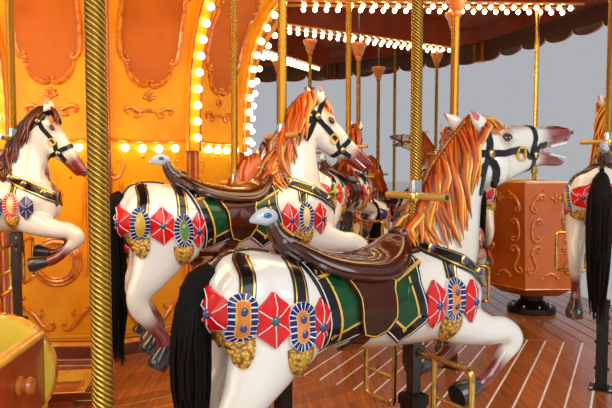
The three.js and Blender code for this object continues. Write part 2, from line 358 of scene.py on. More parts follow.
def rope_brass(name):
    """Brass tube rolled with a fine rope twist, tarnished in the grooves."""
    mat, tree, shader = node_material(name)
    coords = tree.nodes.new("ShaderNodeTexCoord")
    axes = tree.nodes.new("ShaderNodeSeparateXYZ")
    tree.links.new(coords.outputs["Object"], axes.inputs[0])
    angle = number_node(tree, "ARCTAN2", axes.outputs["Y"], axes.outputs["X"])
    climb = number_node(tree, "MULTIPLY", axes.outputs["Z"], 2 * math.pi / ROPE_PITCH)
    turns = number_node(tree, "MULTIPLY_ADD", angle, ROPE_STRANDS, climb)
    strand = number_node(tree, "SINE", turns)
    groove = ramp(tree, strand, -0.2, 0.6)
    tint = mixed(tree, groove, (0.24, 0.125, 0.014), (0.80, 0.48, 0.07))
    tree.links.new(tint, shader.inputs["Base Color"])
    shader.inputs["Metallic"].default_value = 0.85
    shader.inputs["Roughness"].default_value = 0.24
    bump(tree, shader, strand, 0.8, 0.002)
    return mat


def wood(name, light, dark, rough=0.3):
    """Varnished wood with its grain along Y."""
    mat, tree, shader = node_material(name)
    grain = ramp(tree, noise(tree, 3.0, 8, (14, 0.7, 14), 1.0), 0.3, 0.7)
    tree.links.new(with_paint(tree, mixed(tree, grain, light, dark)), shader.inputs["Base Color"])
    shader.inputs["Roughness"].default_value = rough
    shader.inputs["Coat Weight"].default_value = 0.4
    shader.inputs["Coat Roughness"].default_value = 0.2
    bump(tree, shader, grain, 0.25, 0.002)
    return mat


def scaled_gilt(name):
    """Gilt carving covered in small overlapping scales, each painted darker towards its rim as painted shade
    between the scales.
    """
    mat, tree, shader = node_material(name)
    coords = tree.nodes.new("ShaderNodeTexCoord")
    cells = tree.nodes.new("ShaderNodeTexVoronoi")
    cells.inputs["Scale"].default_value = 80
    tree.links.new(coords.outputs["Object"], cells.inputs["Vector"])
    # Painted shade: each scale goes from bright gold at its middle to dark gold at its rim, where the scales
    # meet.
    edge = ramp(tree, cells.outputs["Distance"], 0.35, 0.75)
    base = mixed(tree, edge, (0.70, 0.40, 0.06), (0.24, 0.095, 0.014))
    tree.links.new(base, shader.inputs["Base Color"])
    shader.inputs["Metallic"].default_value = 0.25
    shader.inputs["Roughness"].default_value = 0.32
    bump(tree, shader, number_node(tree, "SUBTRACT", 1.0, cells.outputs["Distance"]), 0.9, 0.006)
    return mat


def lamp_glass(name, colour, strength):
    """Frosted glass that glows."""
    mat, tree, shader = node_material(name)
    tint = mixed(tree, ramp(tree, noise(tree, 40, 2), 0.4, 0.6), colour, tuple(c * 0.85 for c in colour))
    tree.links.new(tint, shader.inputs["Base Color"])
    tree.links.new(tint, shader.inputs["Emission Color"])
    shader.inputs["Emission Strength"].default_value = strength
    shader.inputs["Roughness"].default_value = 0.15
    return mat


def hair(name, colour):
    """Long hair with streaks down it."""
    mat, tree, shader = node_material(name)
    streaks = ramp(tree, noise(tree, 6, 6, (40, 40, 2)), 0.35, 0.65)
    tree.links.new(mixed(tree, streaks, colour, tuple(c * 0.3 for c in colour)), shader.inputs["Base Color"])
    shader.inputs["Roughness"].default_value = 0.55
    shader.inputs["Specular IOR Level"].default_value = 0.12
    bump(tree, shader, streaks, 0.5, 0.004)
    return mat


def canvas(name, colour):
    """Woven roof canvas with a fine thread, faded in patches."""
    mat, tree, shader = node_material(name)
    faded = tuple(0.8 * c + 0.06 for c in colour)
    patches = ramp(tree, noise(tree, 1.3, 5), 0.42, 0.72)
    tree.links.new(mixed(tree, patches, colour, faded), shader.inputs["Base Color"])
    shader.inputs["Roughness"].default_value = 0.8
    shader.inputs["Sheen Weight"].default_value = 0.25
    threads = number_node(tree, "ADD", noise(tree, 8, 2, (90, 4, 4)), noise(tree, 8, 2, (4, 90, 4)))
    bump(tree, shader, threads, 0.35, 0.003)
    return mat


# Enamels: colour, worn colour, roughness, coat, patch scale, shine, whether the mesh is painted.
PAINTS = {
    "horse_paint": ((0.80, 0.79, 0.75), (0.74, 0.68, 0.56), 0.18, 1.0, 5, 0.5, True),
    "carved_mane": ((1.0, 1.0, 1.0), (0.82, 0.7, 0.6), 0.35, 0.35, 20, 0.35, True),
    "blanket_blue": ((0.010, 0.018, 0.11), (0.005, 0.009, 0.05), 0.22),
    "blanket_red": ((0.30, 0.010, 0.010), (0.16, 0.006, 0.006), 0.22),
    "trim_green": ((0.010, 0.14, 0.030), (0.006, 0.08, 0.018), 0.22),
    "stone_yellow": ((0.72, 0.50, 0.05), (0.55, 0.34, 0.03), 0.12),
    "stone_green": ((0.12, 0.28, 0.08), (0.06, 0.16, 0.04), 0.12),
    "hoof_black": ((0.012, 0.011, 0.012), (0.03, 0.028, 0.025), 0.25, 0.8),
    "trim_black": ((0.005, 0.005, 0.007), (0.012, 0.012, 0.015), 0.2, 0.35, 9.0, 0.25),
    "trim_purple": ((0.045, 0.02, 0.14), (0.025, 0.012, 0.08), 0.22),
    "trim_yellow": ((0.80, 0.48, 0.05), (0.62, 0.33, 0.03), 0.25),
    "trim_white": ((0.82, 0.82, 0.80), (0.59, 0.59, 0.576), 0.25),
    "trim_red": ((0.72, 0.006, 0.008), (0.52, 0.004, 0.005), 0.22, 0.4, 9.0, 0.3),
    "trim_blue": ((0.007, 0.010, 0.14), (0.005, 0.008, 0.08), 0.2, 0.5, 9.0, 0.3),
    "trim_cream": ((0.85, 0.68, 0.33), (0.7, 0.5, 0.2), 0.25),
    "jewel_blue": ((0.015, 0.035, 0.20), (0.008, 0.015, 0.09), 0.08, 1.0, 60),
    "jewel_teal": ((0.008, 0.13, 0.15), (0.006, 0.05, 0.07), 0.08, 1.0, 60),
    "eye_dark": ((0.01, 0.006, 0.004), (0.03, 0.015, 0.01), 0.05),
    "ear_pink": ((0.62, 0.16, 0.16), (0.45, 0.08, 0.08), 0.3),
    "trim_brown": ((0.10, 0.035, 0.015), (0.05, 0.015, 0.008), 0.25),
    "saddle": ((0.060, 0.010, 0.003), (0.020, 0.004, 0.0015), 0.16, 0.6, 6),
    "blanket": ((0.003, 0.060, 0.015), (0.002, 0.030, 0.008), 0.22, 0.35, 9.0, 0.25),
    "flap_leather": ((0.055, 0.009, 0.002), (0.020, 0.004, 0.0015), 0.2, 0.2, 6, 0.2),
    "medal_centre": ((0.72, 0.22, 0.015), (0.55, 0.14, 0.01), 0.22),
    "medal_stone": ((0.85, 0.66, 0.30), (0.7, 0.5, 0.2), 0.1),
    "bird_paint": ((0.55, 0.62, 0.68), (0.25, 0.30, 0.36), 0.25, 0.9, 18),
    "eye_blue": ((0.015, 0.16, 0.42), (0.008, 0.06, 0.20), 0.1, 1.0, 60),
    "cup_orange": ((0.70, 0.22, 0.03), (0.36, 0.09, 0.01), 0.3),
    "panel_yellow": ((0.88, 0.40, 0.006), (0.78, 0.25, 0.003), 0.4, 0.12, 2.5, 0.25),
    "panel_amber": ((0.86, 0.34, 0.008), (0.60, 0.15, 0.004), 0.28, 0.5, 8),
    "panel_deep": ((0.56, 0.135, 0.002), (0.44, 0.085, 0.001), 0.4, 0.12, 3, 0.25),
    "panel_rust": ((0.36, 0.055, 0.010), (0.22, 0.03, 0.006), 0.32, 0.6, 10),
    "carving_gilt": ((0.74, 0.23, 0.008), (0.34, 0.055, 0.002), 0.22, 0.8, 26),
    "plinth_brown": ((0.16, 0.028, 0.008), (0.09, 0.014, 0.005), 0.35, 0.4, 6),
    "ceiling_paint": ((0.34, 0.055, 0.012), (0.22, 0.03, 0.008), 0.35, 0.5, 4),
    "strip_metal": ((0.88, 0.86, 0.80), (0.66, 0.62, 0.55), 0.3, 0.4, 12),
    "board_red": ((0.42, 0.035, 0.010), (0.28, 0.02, 0.008), 0.3, 0.6, 6),
    "board_dark": ((0.075, 0.022, 0.008), (0.04, 0.012, 0.006), 0.45, 0.2, 6),
    "tub_paint": ((0.52, 0.115, 0.008), (0.38, 0.07, 0.005), 0.28, 0.6, 3),
    "tub_carving": ((0.66, 0.20, 0.02), (0.40, 0.08, 0.006), 0.25, 0.8, 20),
    "tub_rim": ((0.80, 0.52, 0.26), (0.62, 0.34, 0.12), 0.25, 0.8, 12),
    "chariot_yellow": ((0.80, 0.62, 0.060), (0.66, 0.46, 0.035), 0.3, 0.5, 4),
    "chariot_gold": ((0.80, 0.42, 0.03), (0.58, 0.24, 0.015), 0.22, 0.9, 12),
    "chariot_red": ((0.40, 0.060, 0.006), (0.24, 0.028, 0.004), 0.3, 0.4, 5),
    "pale_floor": ((0.72, 0.72, 0.70), (0.66, 0.66, 0.64), 0.6, 0.0, 1.5),
}
# The other finishes: what makes each, and its values.
OTHERS = {
    "trim_gold": (metal, (0.85, 0.55, 0.12), 0.28),
    "drop_gilt": (scaled_gilt,),
    "tail_hair": (hair, (0.006, 0.004, 0.003)),
    "brass": (metal, (0.80, 0.50, 0.12), 0.2, (0.42, 0.23, 0.05), 45),
    "rope_brass": (rope_brass,),
    "chrome": (metal, (0.82, 0.83, 0.84), 0.1),
    "dark_steel": (metal, (0.10, 0.09, 0.085), 0.42),
    "handle_wood": (wood, (0.56, 0.34, 0.07), (0.38, 0.20, 0.03)),
    "lamp": (lamp_glass, (1.0, 0.78, 0.42), 9.0),
    "deck_wood": (wood, (0.46, 0.135, 0.028), (0.25, 0.060, 0.012), 0.26),
    "guide_steel": (metal, (0.045, 0.038, 0.034), 0.45),
    "frame_steel": (metal, (0.09, 0.085, 0.08), 0.5, (0.05, 0.04, 0.035), 12),
    "canvas_red": (canvas, (0.40, 0.025, 0.018)),
    "canvas_cream": (canvas, (0.72, 0.60, 0.38)),
    "gilt_leaf": (metal, (0.86, 0.54, 0.14), 0.26, (0.55, 0.28, 0.05), 18),
    "seat_wood": (wood, (0.42, 0.16, 0.05), (0.26, 0.08, 0.02), 0.3),
}


@cache
def material(name):
    """A finish by its name, made once."""
    if name in PAINTS:
        return gloss_paint(name, *PAINTS[name])
    maker, *values = OTHERS[name]
    return maker(name, *values)


# Horse figure. Local frame as in the CAD part: x forwards from the pole, y to the
# centre of the carousel, z above the deck with the horse at the bottom of its travel.
# Stations of the body are x, z, half size along and across, and y where it isn't 0.

TRUNK = [
    (-0.860, 1.050, 0.060, 0.055),
    (-0.815, 1.040, 0.112, 0.105),
    (-0.72, 1.032, 0.146, 0.160),
    (-0.55, 0.993, 0.147, 0.178),
    (-0.36, 0.963, 0.148, 0.175),
    (-0.15, 0.955, 0.172, 0.178),
    (0.05, 0.965, 0.188, 0.168),
    (0.18, 0.980, 0.155, 0.140),
    (0.265, 0.975, 0.090, 0.085),
]

NECKS = {
    "lifted": [
        (0.09, 1.02, 0.165, 0.120),
        (0.15, 1.11, 0.155, 0.108),
        (0.185, 1.22, 0.135, 0.088),
        (0.215, 1.33, 0.122, 0.073),
        (0.265, 1.43, 0.115, 0.066),
        (0.315, 1.50, 0.100, 0.060),
    ],
    "bowed": [
        (0.07, 1.02, 0.160, 0.120),
        (0.085, 1.12, 0.145, 0.105),
        (0.095, 1.23, 0.122, 0.085),
        (0.110, 1.34, 0.106, 0.070),
        (0.150, 1.44, 0.098, 0.063),
        (0.212, 1.505, 0.084, 0.057),
    ],
}
# The head is drawn level, with its poll at the origin, then sized, tilted and placed.
UPPER_HEAD = [
    (0.000, -0.075, 0.072, 0.048),
    (0.060, -0.085, 0.086, 0.060),
    (0.130, -0.088, 0.090, 0.064),
    (0.220, -0.072, 0.073, 0.054),
    (0.320, -0.058, 0.058, 0.046),
    (0.430, -0.047, 0.049, 0.042),
    (0.520, -0.032, 0.040, 0.045),
    (0.590, -0.030, 0.026, 0.034),
]

JAW = [
    (0.060, -0.195, 0.082, 0.058),
    (0.175, -0.172, 0.066, 0.056),
    (0.310, -0.146, 0.046, 0.044),
    (0.370, -0.142, 0.034, 0.038),
    (0.440, -0.140, 0.030, 0.034),
    (0.520, -0.151, 0.021, 0.031),
    (0.565, -0.153, 0.012, 0.022),
]

HEADS = {
    "lifted": {"neck": "lifted", "poll": (0.300, 1.605), "tilt": 0.0, "size": 1.0},
    "bowed": {"neck": "bowed", "poll": (0.248, 1.558), "tilt": -0.80, "size": 0.84},
    "tucked": {"neck": "bowed", "poll": (0.240, 1.570), "tilt": -1.05, "size": 0.80},
}

NEAR_FORE = [
    (0.02, 0.93, 0.120, 0.075, -0.085),
    (0.14, 0.855, 0.088, 0.066, -0.100),
    (0.27, 0.805, 0.062, 0.050, -0.112),
    (0.36, 0.795, 0.052, 0.044, -0.115),
    (0.415, 0.745, 0.050, 0.042, -0.115),
    (0.355, 0.680, 0.033, 0.028, -0.112),
    (0.295, 0.625, 0.030, 0.026, -0.110),
    (0.245, 0.600, 0.034, 0.030, -0.110),
    (0.215, 0.597, 0.028, 0.028, -0.110),
]

FAR_FORE = [
    (0.01, 0.92, 0.115, 0.075, 0.085),
    (0.11, 0.835, 0.085, 0.064, 0.100),
    (0.23, 0.775, 0.060, 0.048, 0.110),
    (0.31, 0.750, 0.052, 0.042, 0.112),
    (0.33, 0.700, 0.044, 0.038, 0.112),
    (0.27, 0.650, 0.031, 0.027, 0.110),
    (0.215, 0.625, 0.030, 0.026, 0.110),
    (0.175, 0.625, 0.032, 0.028, 0.110),
]

NEAR_HIND = [
    (-0.64, 1.00, 0.165, 0.090, -0.085),
    (-0.69, 0.88, 0.135, 0.082, -0.105),
    (-0.760, 0.77, 0.088, 0.060, -0.115),
    (-0.815, 0.690, 0.056, 0.042, -0.120),
    (-0.810, 0.625, 0.047, 0.036, -0.120),
    (-0.765, 0.550, 0.033, 0.028, -0.120),
    (-0.718, 0.485, 0.032, 0.028, -0.120),
    (-0.705, 0.435, 0.036, 0.032, -0.120),
]

FAR_HIND = [
    (-0.62, 1.00, 0.165, 0.090, 0.085),
    (-0.65, 0.88, 0.130, 0.082, 0.105),
    (-0.700, 0.77, 0.088, 0.060, 0.115),
    (-0.755, 0.690, 0.054, 0.042, 0.120),
    (-0.730, 0.610, 0.044, 0.036, 0.120),
    (-0.680, 0.545, 0.032, 0.028, 0.120),
    (-0.650, 0.480, 0.032, 0.028, 0.120),
    (-0.665, 0.430, 0.036, 0.032, 0.120),
]

# Hooves: where the pastern ends, where the toe points, and y.
HOOVES = [
    ((0.225, 0.597), (0.115, 0.575), -0.110),
    ((0.180, 0.625), (0.085, 0.640), 0.110),
    ((-0.705, 0.440), (-0.755, 0.350), -0.120),
    ((-0.660, 0.435), (-0.715, 0.350), 0.120),
]
HOOF_RADII = [0.030, 0.036, 0.041, 0.046, 0.050, 0.044]
# Fetlocks: x, z and the side of the body.
FETLOCKS = [(0.225, 0.600, -1), (0.180, 0.625, 1), (-0.705, 0.435, -1), (-0.665, 0.430, 1)]
EYE = (0.132, -0.060)


def head_place(points, pose):
    """Sizes head points, turns them about the poll and sets them on the neck."""
    head = HEADS[pose]
    c, s = math.cos(head["tilt"]), math.sin(head["tilt"])
    p = np.asarray(points, float) * head["size"]
    x = head["poll"][0] + c * p[:, 0] - s * p[:, 2]
    z = head["poll"][1] + s * p[:, 0] + c * p[:, 2]
    return np.column_stack([x, p[:, 1], z])


def head_local(points, pose):
    """The reverse of head_place."""
    head = HEADS[pose]
    c, s = math.cos(head["tilt"]), math.sin(head["tilt"])
    dx = points[:, 0] - head["poll"][0]
    dz = points[:, 2] - head["poll"][1]
    return np.column_stack([c * dx + s * dz, points[:, 1], -s * dx + c * dz]) / head["size"]


def jaw_line(pose):
    """The jaw, dropped open with the head up and nearly shut with the head down."""
    if pose == "lifted":
        return JAW
    return [(x, z + 0.26 * max(x - 0.30, 0), a, b) for x, z, a, b in JAW]


def cheeks_and_brows():
    """Rounded muscles of the head: cheek, brow ridge, nostril rim and lips."""
    for side in (-1, 1):
        yield ball((0.105, 0.028 * side, -0.175), 0.075, 8, 12, (1, 0.60, 1))
        yield ball((0.135, 0.044 * side, -0.032), 0.026, 6, 10, (1.6, 0.8, 0.8))
        yield ball((0.555, 0.027 * side, -0.022), 0.024, 6, 10, (1.3, 0.9, 0.9))
    yield ball((0.575, 0, -0.050), 0.022, 6, 10, (1.2, 1.4, 0.7))
    yield ball((0.545, 0, -0.148), 0.017, 6, 10, (1.3, 1.4, 0.7))


def trunk_muscles():
    """Buttock, shoulder, breast and stifle, as rounded masses."""
    for side in (-1, 1):
        yield ball((-0.74, 0.085 * side, 1.02), 0.115, 10, 14, (1.0, 0.8, 1.1))
        yield ball((-0.60, 0.10 * side, 0.91), 0.105, 10, 14, (1.0, 0.75, 1.1))
        yield ball((0.09, 0.095 * side, 0.97), 0.125, 10, 14, (0.9, 0.62, 1.25))
        yield ball((0.195, 0.05 * side, 0.94), 0.095, 10, 14, (0.9, 0.8, 1.1))


EAR = [
    (0.020, -0.034, 0.024, 0.020, 0.046),
    (-0.012, -0.012, 0.034, 0.023, 0.056),
    (-0.048, 0.012, 0.028, 0.019, 0.060),
    (-0.092, 0.040, 0.004, 0.004, 0.062),
]

SKIN_VOXEL = 0.009
# How far the skin is smoothed, and the shares of its faces that are kept.
SKIN_SMOOTHED = 0.07
FINE_SHARE, COARSE_SHARE = 0.18, 0.055


def body_mesh(pose, fine):
    """One smooth skin round the trunk, neck, head and legs."""
    raw = Shape()
    for stations in (TRUNK, NECKS[HEADS[pose]["neck"]], NEAR_FORE, FAR_FORE, NEAR_HIND, FAR_HIND):
        raw.add(*limb(stations, 6 * len(stations), 24), "horse_paint")
    for stations in (UPPER_HEAD, jaw_line(pose)):
        on_head(raw, limb(stations, 40, 24), pose, "horse_paint")
    for part in cheeks_and_brows():
        on_head(raw, part, pose, "horse_paint")
    for part in trunk_muscles():
        raw.add(*part, "horse_paint")
    for side in (-1, 1):
        ear = limb([(x, z, a, b, y * side) for x, z, a, b, y in EAR], 12, 12)
        on_head(raw, ear, pose, "horse_paint")
    obj = linked("skin", raw.mesh("skin"))
    remesh = obj.modifiers.new("remesh", "REMESH")
    remesh.mode = "VOXEL"
    remesh.voxel_size = SKIN_VOXEL
    smooth = obj.modifiers.new("smooth", "SMOOTH")
    smooth.factor = 0.6
    smooth.iterations = round(SKIN_SMOOTHED / SKIN_VOXEL)
    obj.modifiers.new("decimate", "DECIMATE").ratio = FINE_SHARE if fine else COARSE_SHARE
    return applied(obj)


def on_head(shape, part, pose, finish):
    """Adds a part that is drawn in the level head's frame."""
    points, faces = part
    shape.add(head_place(points, pose), faces, finish)


def skin_paint(points, pose):
    """Body colour by place: dark red above the hooves and on the muzzle, and a cream painted shade low on the
    legs and under the belly.
    """
    x, y, z = points.T
    # Painted shade: a cream tint that deepens towards the bottom, below the belly.
    shades = [(0.25 * np.clip((0.86 - z) / 0.3, 0, 1), (0.95, 0.82, 0.60))]
    # Painted shade: a darker warm tint under the belly, near the middle plane between the legs.
    under = np.clip((0.93 - z) / 0.12, 0, 1) * (np.abs(y) < 0.11)
    shades.append((0.35 * under, (0.86, 0.60, 0.36)))
    for foot_x, foot_z, side in FETLOCKS:
        near = np.hypot(x - foot_x, z - foot_z)
        shades.append(((0.19 - near) / 0.07 * (y * side > 0.03), (0.24, 0.018, 0.012)))
    x, y, z = head_local(points, pose).T
    is_head = (np.abs(y) < 0.12) & (z > -0.30) & (x > 0.0)
    muzzle = np.where(z < -0.105, 0.34, 0.375)
    shades.append(((x - muzzle) / 0.07 * is_head, (0.26, 0.010, 0.008)))
    shades.append(((0.21 - x) / 0.10 * is_head * (z > -0.045), (0.66, 0.20, 0.03)))
    eye = np.hypot(x - EYE[0], z - EYE[1])
    shades.append(((0.045 - eye) / 0.025 * is_head, (0.55, 0.42, 0.32)))
    colour = np.ones((len(points), 3))
    for amount, tint in shades:
        amount = np.clip(amount, 0, 1)[:, None]
        colour = colour * (1 - amount) + np.array(tint) * amount
    return colour


def hooves(shape):
    for (x0, z0), (x1, z1), y in HOOVES:
        path = np.linspace([x0, y, z0], [x1, y, z1], len(HOOF_RADII))
        shape.add(*rod(path, HOOF_RADII, 14), "hoof_black")


# Rows of teeth in the open mouth: height and slope.
TEETH = {"lifted": [(-0.086, 0.17), (-0.118, -0.15)], "bowed": [(-0.084, 0.17)], "tucked": []}


def face_details(shape, pose):
    """Eyes with a painted white highlight, and lids, nostrils, teeth, tongue and the inside of the ears."""
    eye_x, eye_z = EYE
    parts = []
    for side in (-1, 1):
        parts.append((ball((eye_x, 0.058 * side, eye_z), 0.019, 6, 12, (1.25, 0.55, 0.72)), "eye_dark"))
        # A small white ball on each eye: a painted highlight.
        parts.append((ball((0.138, 0.0675 * side, -0.055), 0.003, 4, 6), "trim_white"))
        parts.append((ball((0.585, 0.036 * side, -0.022), 0.010, 5, 8, (1.2, 0.5, 0.9)), "eye_dark"))
        for z, lean in TEETH[pose]:
            row = [(x, 0.026 * side, z + lean * (x - 0.45)) for x in np.linspace(0.45, 0.555, 5)]
            parts.append((rod(row, 0.0065, 6), "trim_white"))
        arc = np.linspace(0.1, 3.0, 9)
        lid = [(eye_x + 0.026 * math.cos(a), 0.061 * side, eye_z + 0.018 * math.sin(a)) for a in arc]
        parts.append((rod(lid, 0.0042, 6), "trim_brown"))
        inner = [(x + 0.002, z - 0.002, 0.62 * a, 0.4 * b, (y + 0.009) * side) for x, z, a, b, y in EAR[1:]]
        parts.append((limb(inner, 8, 8), "ear_pink"))
    if pose == "lifted":
        tongue = [(0.40, -0.112, 0.006, 0.022), (0.48, -0.118, 0.009, 0.022), (0.535, -0.126, 0.006, 0.016)]
        parts.append((limb(tongue, 8, 10), "ear_pink"))
    for part, finish in parts:
        on_head(shape, part, pose, finish)


# Distance from the middle plane at which rays to the skin start.
SIDE_REACH = 0.6


class Skin:
    """The finished skin, for laying trappings on it."""

    def __init__(self, mesh):
        points = [v.co.copy() for v in mesh.vertices]
        self.tree = BVHTree.FromPolygons(points, [list(p.vertices) for p in mesh.polygons])

    def side(self, x, z, side, lift):
        """The point of the skin seen from the side at x, z."""
        start = Vector((x, SIDE_REACH * side, z))
        hit, normal, _, _ = self.tree.ray_cast(start, Vector((0, -side, 0)), SIDE_REACH)
        if hit is None:
            return self.cling((x, 0.05 * side, z), lift)
        return hit + (normal if normal.y * side >= 0 else -normal) * lift

    def cling(self, point, lift):
        """The point of the skin nearest to a given one."""
        hit, normal, _, _ = self.tree.find_nearest(Vector(point))
        away = Vector(point) - hit
        if away.length > 0.02 and normal.dot(away) < 0:
            normal = -normal
        return hit + normal * lift


def fan(count, start, hub):
    """Triangles from a ring of points to a hub."""
    return [[start + k, start + (k + 1) % count, hub] for k in range(count)]


def even_ring(outline, count):
    """An outline walked in equal steps, anticlockwise."""
    p = np.asarray(outline, float)
    loop = np.vstack([p, p[:1]])
    area = np.sum(loop[:-1, 0] * loop[1:, 1] - loop[1:, 0] * loop[:-1, 1])
    if area < 0:
        loop = loop[::-1]
    step = np.linalg.norm(np.diff(loop, axis=0), axis=1)
    at = np.concatenate([[0], np.cumsum(step)])
    t = np.linspace(0, at[-1], count, endpoint=False)
    return np.column_stack([np.interp(t, at, loop[:, i]) for i in (0, 1)])


def inset(ring, depth):
    """A ring moved inwards by a depth."""
    along = np.roll(ring, -1, axis=0) - np.roll(ring, 1, axis=0)
    along /= np.linalg.norm(along, axis=1)[:, None]
    return ring + depth * np.column_stack([-along[:, 1], along[:, 0]])


# How far the edges of a badge or a strap sink into the skin.
SUNK = -0.004


def patch(shape, skin, outline, bands, side, lift, count, dome=0.0, spokes=None):
    """A raised badge laid on the skin. bands: depth from the rim and finish, from the rim inwards.
    spokes: the band, how often and in which finish it is broken."""
    ring = even_ring(outline, count)
    rows = [(ring, SUNK), (inset(ring, 0.0015), lift)]
    finishes = [bands[0][1], bands[0][1]]
    for depth, finish in bands[1:]:
        rows.append((inset(ring, depth), lift))
        finishes.append(finish)
    last_ring = rows[-1][0]
    middle = last_ring.mean(axis=0)
    rows.append((middle + 0.5 * (last_ring - middle), lift + dome))
    points = [skin.side(x, z, side, height) for row, height in rows for x, z in row]
    points.append(skin.side(*middle, side, lift + dome * 1.25))
    faces = grid_faces(len(rows), count)
    names = [finish for finish in finishes for _ in range(count)]
    if spokes:
        band, every, finish = spokes
        for k in range(0, count, every):
            names[band * count + k] = finish
    faces += fan(count, (len(rows) - 1) * count, len(points) - 1)
    names += [finishes[-1]] * count
    if side > 0:
        faces = [face[::-1] for face in faces]
    shape.add(points, faces, names)


def ribbon(shape, skin, path, width, columns, lift=0.006):
    """A strap laid on the skin. columns: finishes across it. The path is of 3-D points."""
    path = np.asarray(path, float)
    tangent = np.gradient(path, axis=0)
    count = len(columns)
    edge = 0.5 * width * 1.04
    points = []
    for p, t in zip(path, tangent):
        base = skin.cling(p, 0.0)
        normal = skin.cling(p, 1.0) - base
        sideways = Vector(t).cross(normal)
        sideways.normalize()
        points.append(skin.cling(base + sideways * -edge, SUNK))
        for k in range(count + 1):
            points.append(skin.cling(base + sideways * ((k / count - 0.5) * width), lift))
        points.append(skin.cling(base + sideways * edge, SUNK))
    faces = grid_faces(len(path), count + 3, closed=False)
    shape.add(points, faces, [columns[0], *columns, columns[-1]] * (len(path) - 1))


def side_path(skin, points, side, count):
    """A smooth path over the flank through points seen from the side."""
    return [skin.side(x, z, side, 0.0) for x, z in spline(points, count)]


# Trappings. Places are x, z seen from the side, in metres in the horse's own frame.

BLANKET_REAR = [(-0.565, 1.13), (-0.540, 1.05), (-0.515, 0.955), (-0.498, 0.852), (-0.40, 0.890)]
BLANKET_REAR += [(-0.30, 0.92), (-0.30, 1.05), (-0.36, 1.11), (-0.46, 1.14)]
BLANKET_FRONT = [(-0.34, 0.92), (-0.28, 0.892), (-0.20, 0.836), (-0.092, 0.910), (-0.120, 1.03)]
BLANKET_FRONT += [(-0.075, 1.15), (-0.16, 1.12), (-0.27, 1.08), (-0.33, 1.02)]
BLANKET_BANDS = [(0, "trim_black"), (0.007, "trim_white"), (0.011, "trim_black")]
BLANKET_BANDS += [(0.044, "trim_yellow"), (0.052, "blanket")]

FLAP = [(-0.47, 1.10), (-0.435, 1.065), (-0.405, 1.02), (-0.40, 0.945), (-0.378, 0.903), (-0.33, 0.888)]
FLAP += [(-0.283, 0.905), (-0.25, 0.942), (-0.245, 1.02), (-0.215, 1.06), (-0.19, 1.10), (-0.33, 1.115)]
FLAP_BANDS = [(0, "saddle"), (0.005, "trim_yellow"), (0.009, "flap_leather")]
FLAP_FROM, FLAP_TO = -0.44, -0.19
STRAP_END = [(-0.385, 0.915), (-0.325, 0.905), (-0.348, 0.822), (-0.412, 0.832)]

# Saddle stations: x, height of the seat, height of its edge, half width.
SADDLE = [
    (-0.584, 1.212, 1.186, 0.030),
    (-0.562, 1.213, 1.166, 0.060),
    (-0.522, 1.197, 1.134, 0.106),
    (-0.450, 1.168, 1.098, 0.150),
    (-0.350, 1.147, 1.078, 0.168),
    (-0.250, 1.137, 1.072, 0.166),
    (-0.185, 1.143, 1.090, 0.148),
    (-0.135, 1.166, 1.124, 0.112),
    (-0.102, 1.192, 1.160, 0.072),
    (-0.084, 1.204, 1.184, 0.036),
]

# Medallions and hexagons: x, z, half width, half height.
MEDALS = [(-0.797, 1.004, 0.035, 0.070), (-0.618, 0.959, 0.049, 0.074), (0.030, 0.965, 0.048, 0.074)]
STONES = ["stone_yellow", "stone_green", "medal_stone"]
HEXAGONS = [(-0.852, 1.012, 0.022, 0.074), (-0.710, 0.988, 0.054, 0.082), (-0.545, 0.955, 0.032, 0.080)]
HEXAGONS += [(-0.064, 0.956, 0.046, 0.084), (0.121, 0.946, 0.039, 0.080)]
HEXAGON_STONES = ["jewel_blue", "jewel_teal", "jewel_blue", "jewel_blue", "jewel_blue"]
JEWEL = 0.0150
HANGERS = [
    [(-0.745, 1.190), (-0.768, 1.130), (-0.790, 1.045)],
    [(-0.590, 1.145), (-0.602, 1.090), (-0.613, 1.020)],
    [(0.045, 1.100), (0.038, 1.070), (0.032, 1.035)],
]
BREAST = [(-0.085, 1.165), (0.005, 1.128), (0.095, 1.090), (0.205, 1.035), (0.290, 0.990)]
BREAST_JEWELS = [(0.005, 1.128), (0.100, 1.088), (0.205, 1.035)]
STRAP_COLUMNS = ["trim_black", "trim_gold", *["trim_black"] * 7, "trim_gold", "trim_black"]
OVAL_POINTS = 28


def stadium(x, z, half_wide, half_high):
    """A round-ended upright outline."""
    straight = max(half_high - half_wide, 0)
    ring = []
    for a in ring_angles(OVAL_POINTS):
        shift = straight if math.sin(a) > 0 else -straight
        ring.append((x + half_wide * math.cos(a), z + half_wide * math.sin(a) + shift))
    return ring


def oval(x, z, half_wide, half_high):
    return [(x + half_wide * math.cos(a), z + half_high * math.sin(a)) for a in ring_angles(OVAL_POINTS)]


def hexagon(x, z, half_wide, half_high):
    corners = [(0, 1), (-1, 0.48), (-0.94, -0.50), (0, -1), (0.94, -0.50), (1, 0.48)]
    return [(x + half_wide * u, z + half_high * v) for u, v in corners]


def drop(x, z, half_wide, length):
    """A hanging drop: wide at the top and pointed below."""
    half = [(1.0, 0.0), (0.98, 0.34), (0.80, 0.62), (0.42, 0.88), (0.0, 1.0)]
    ring = [(x - half_wide * u, z - length * v) for u, v in half]
    return ring + [(x + half_wide * u, z - length * v) for u, v in half[-2::-1]]


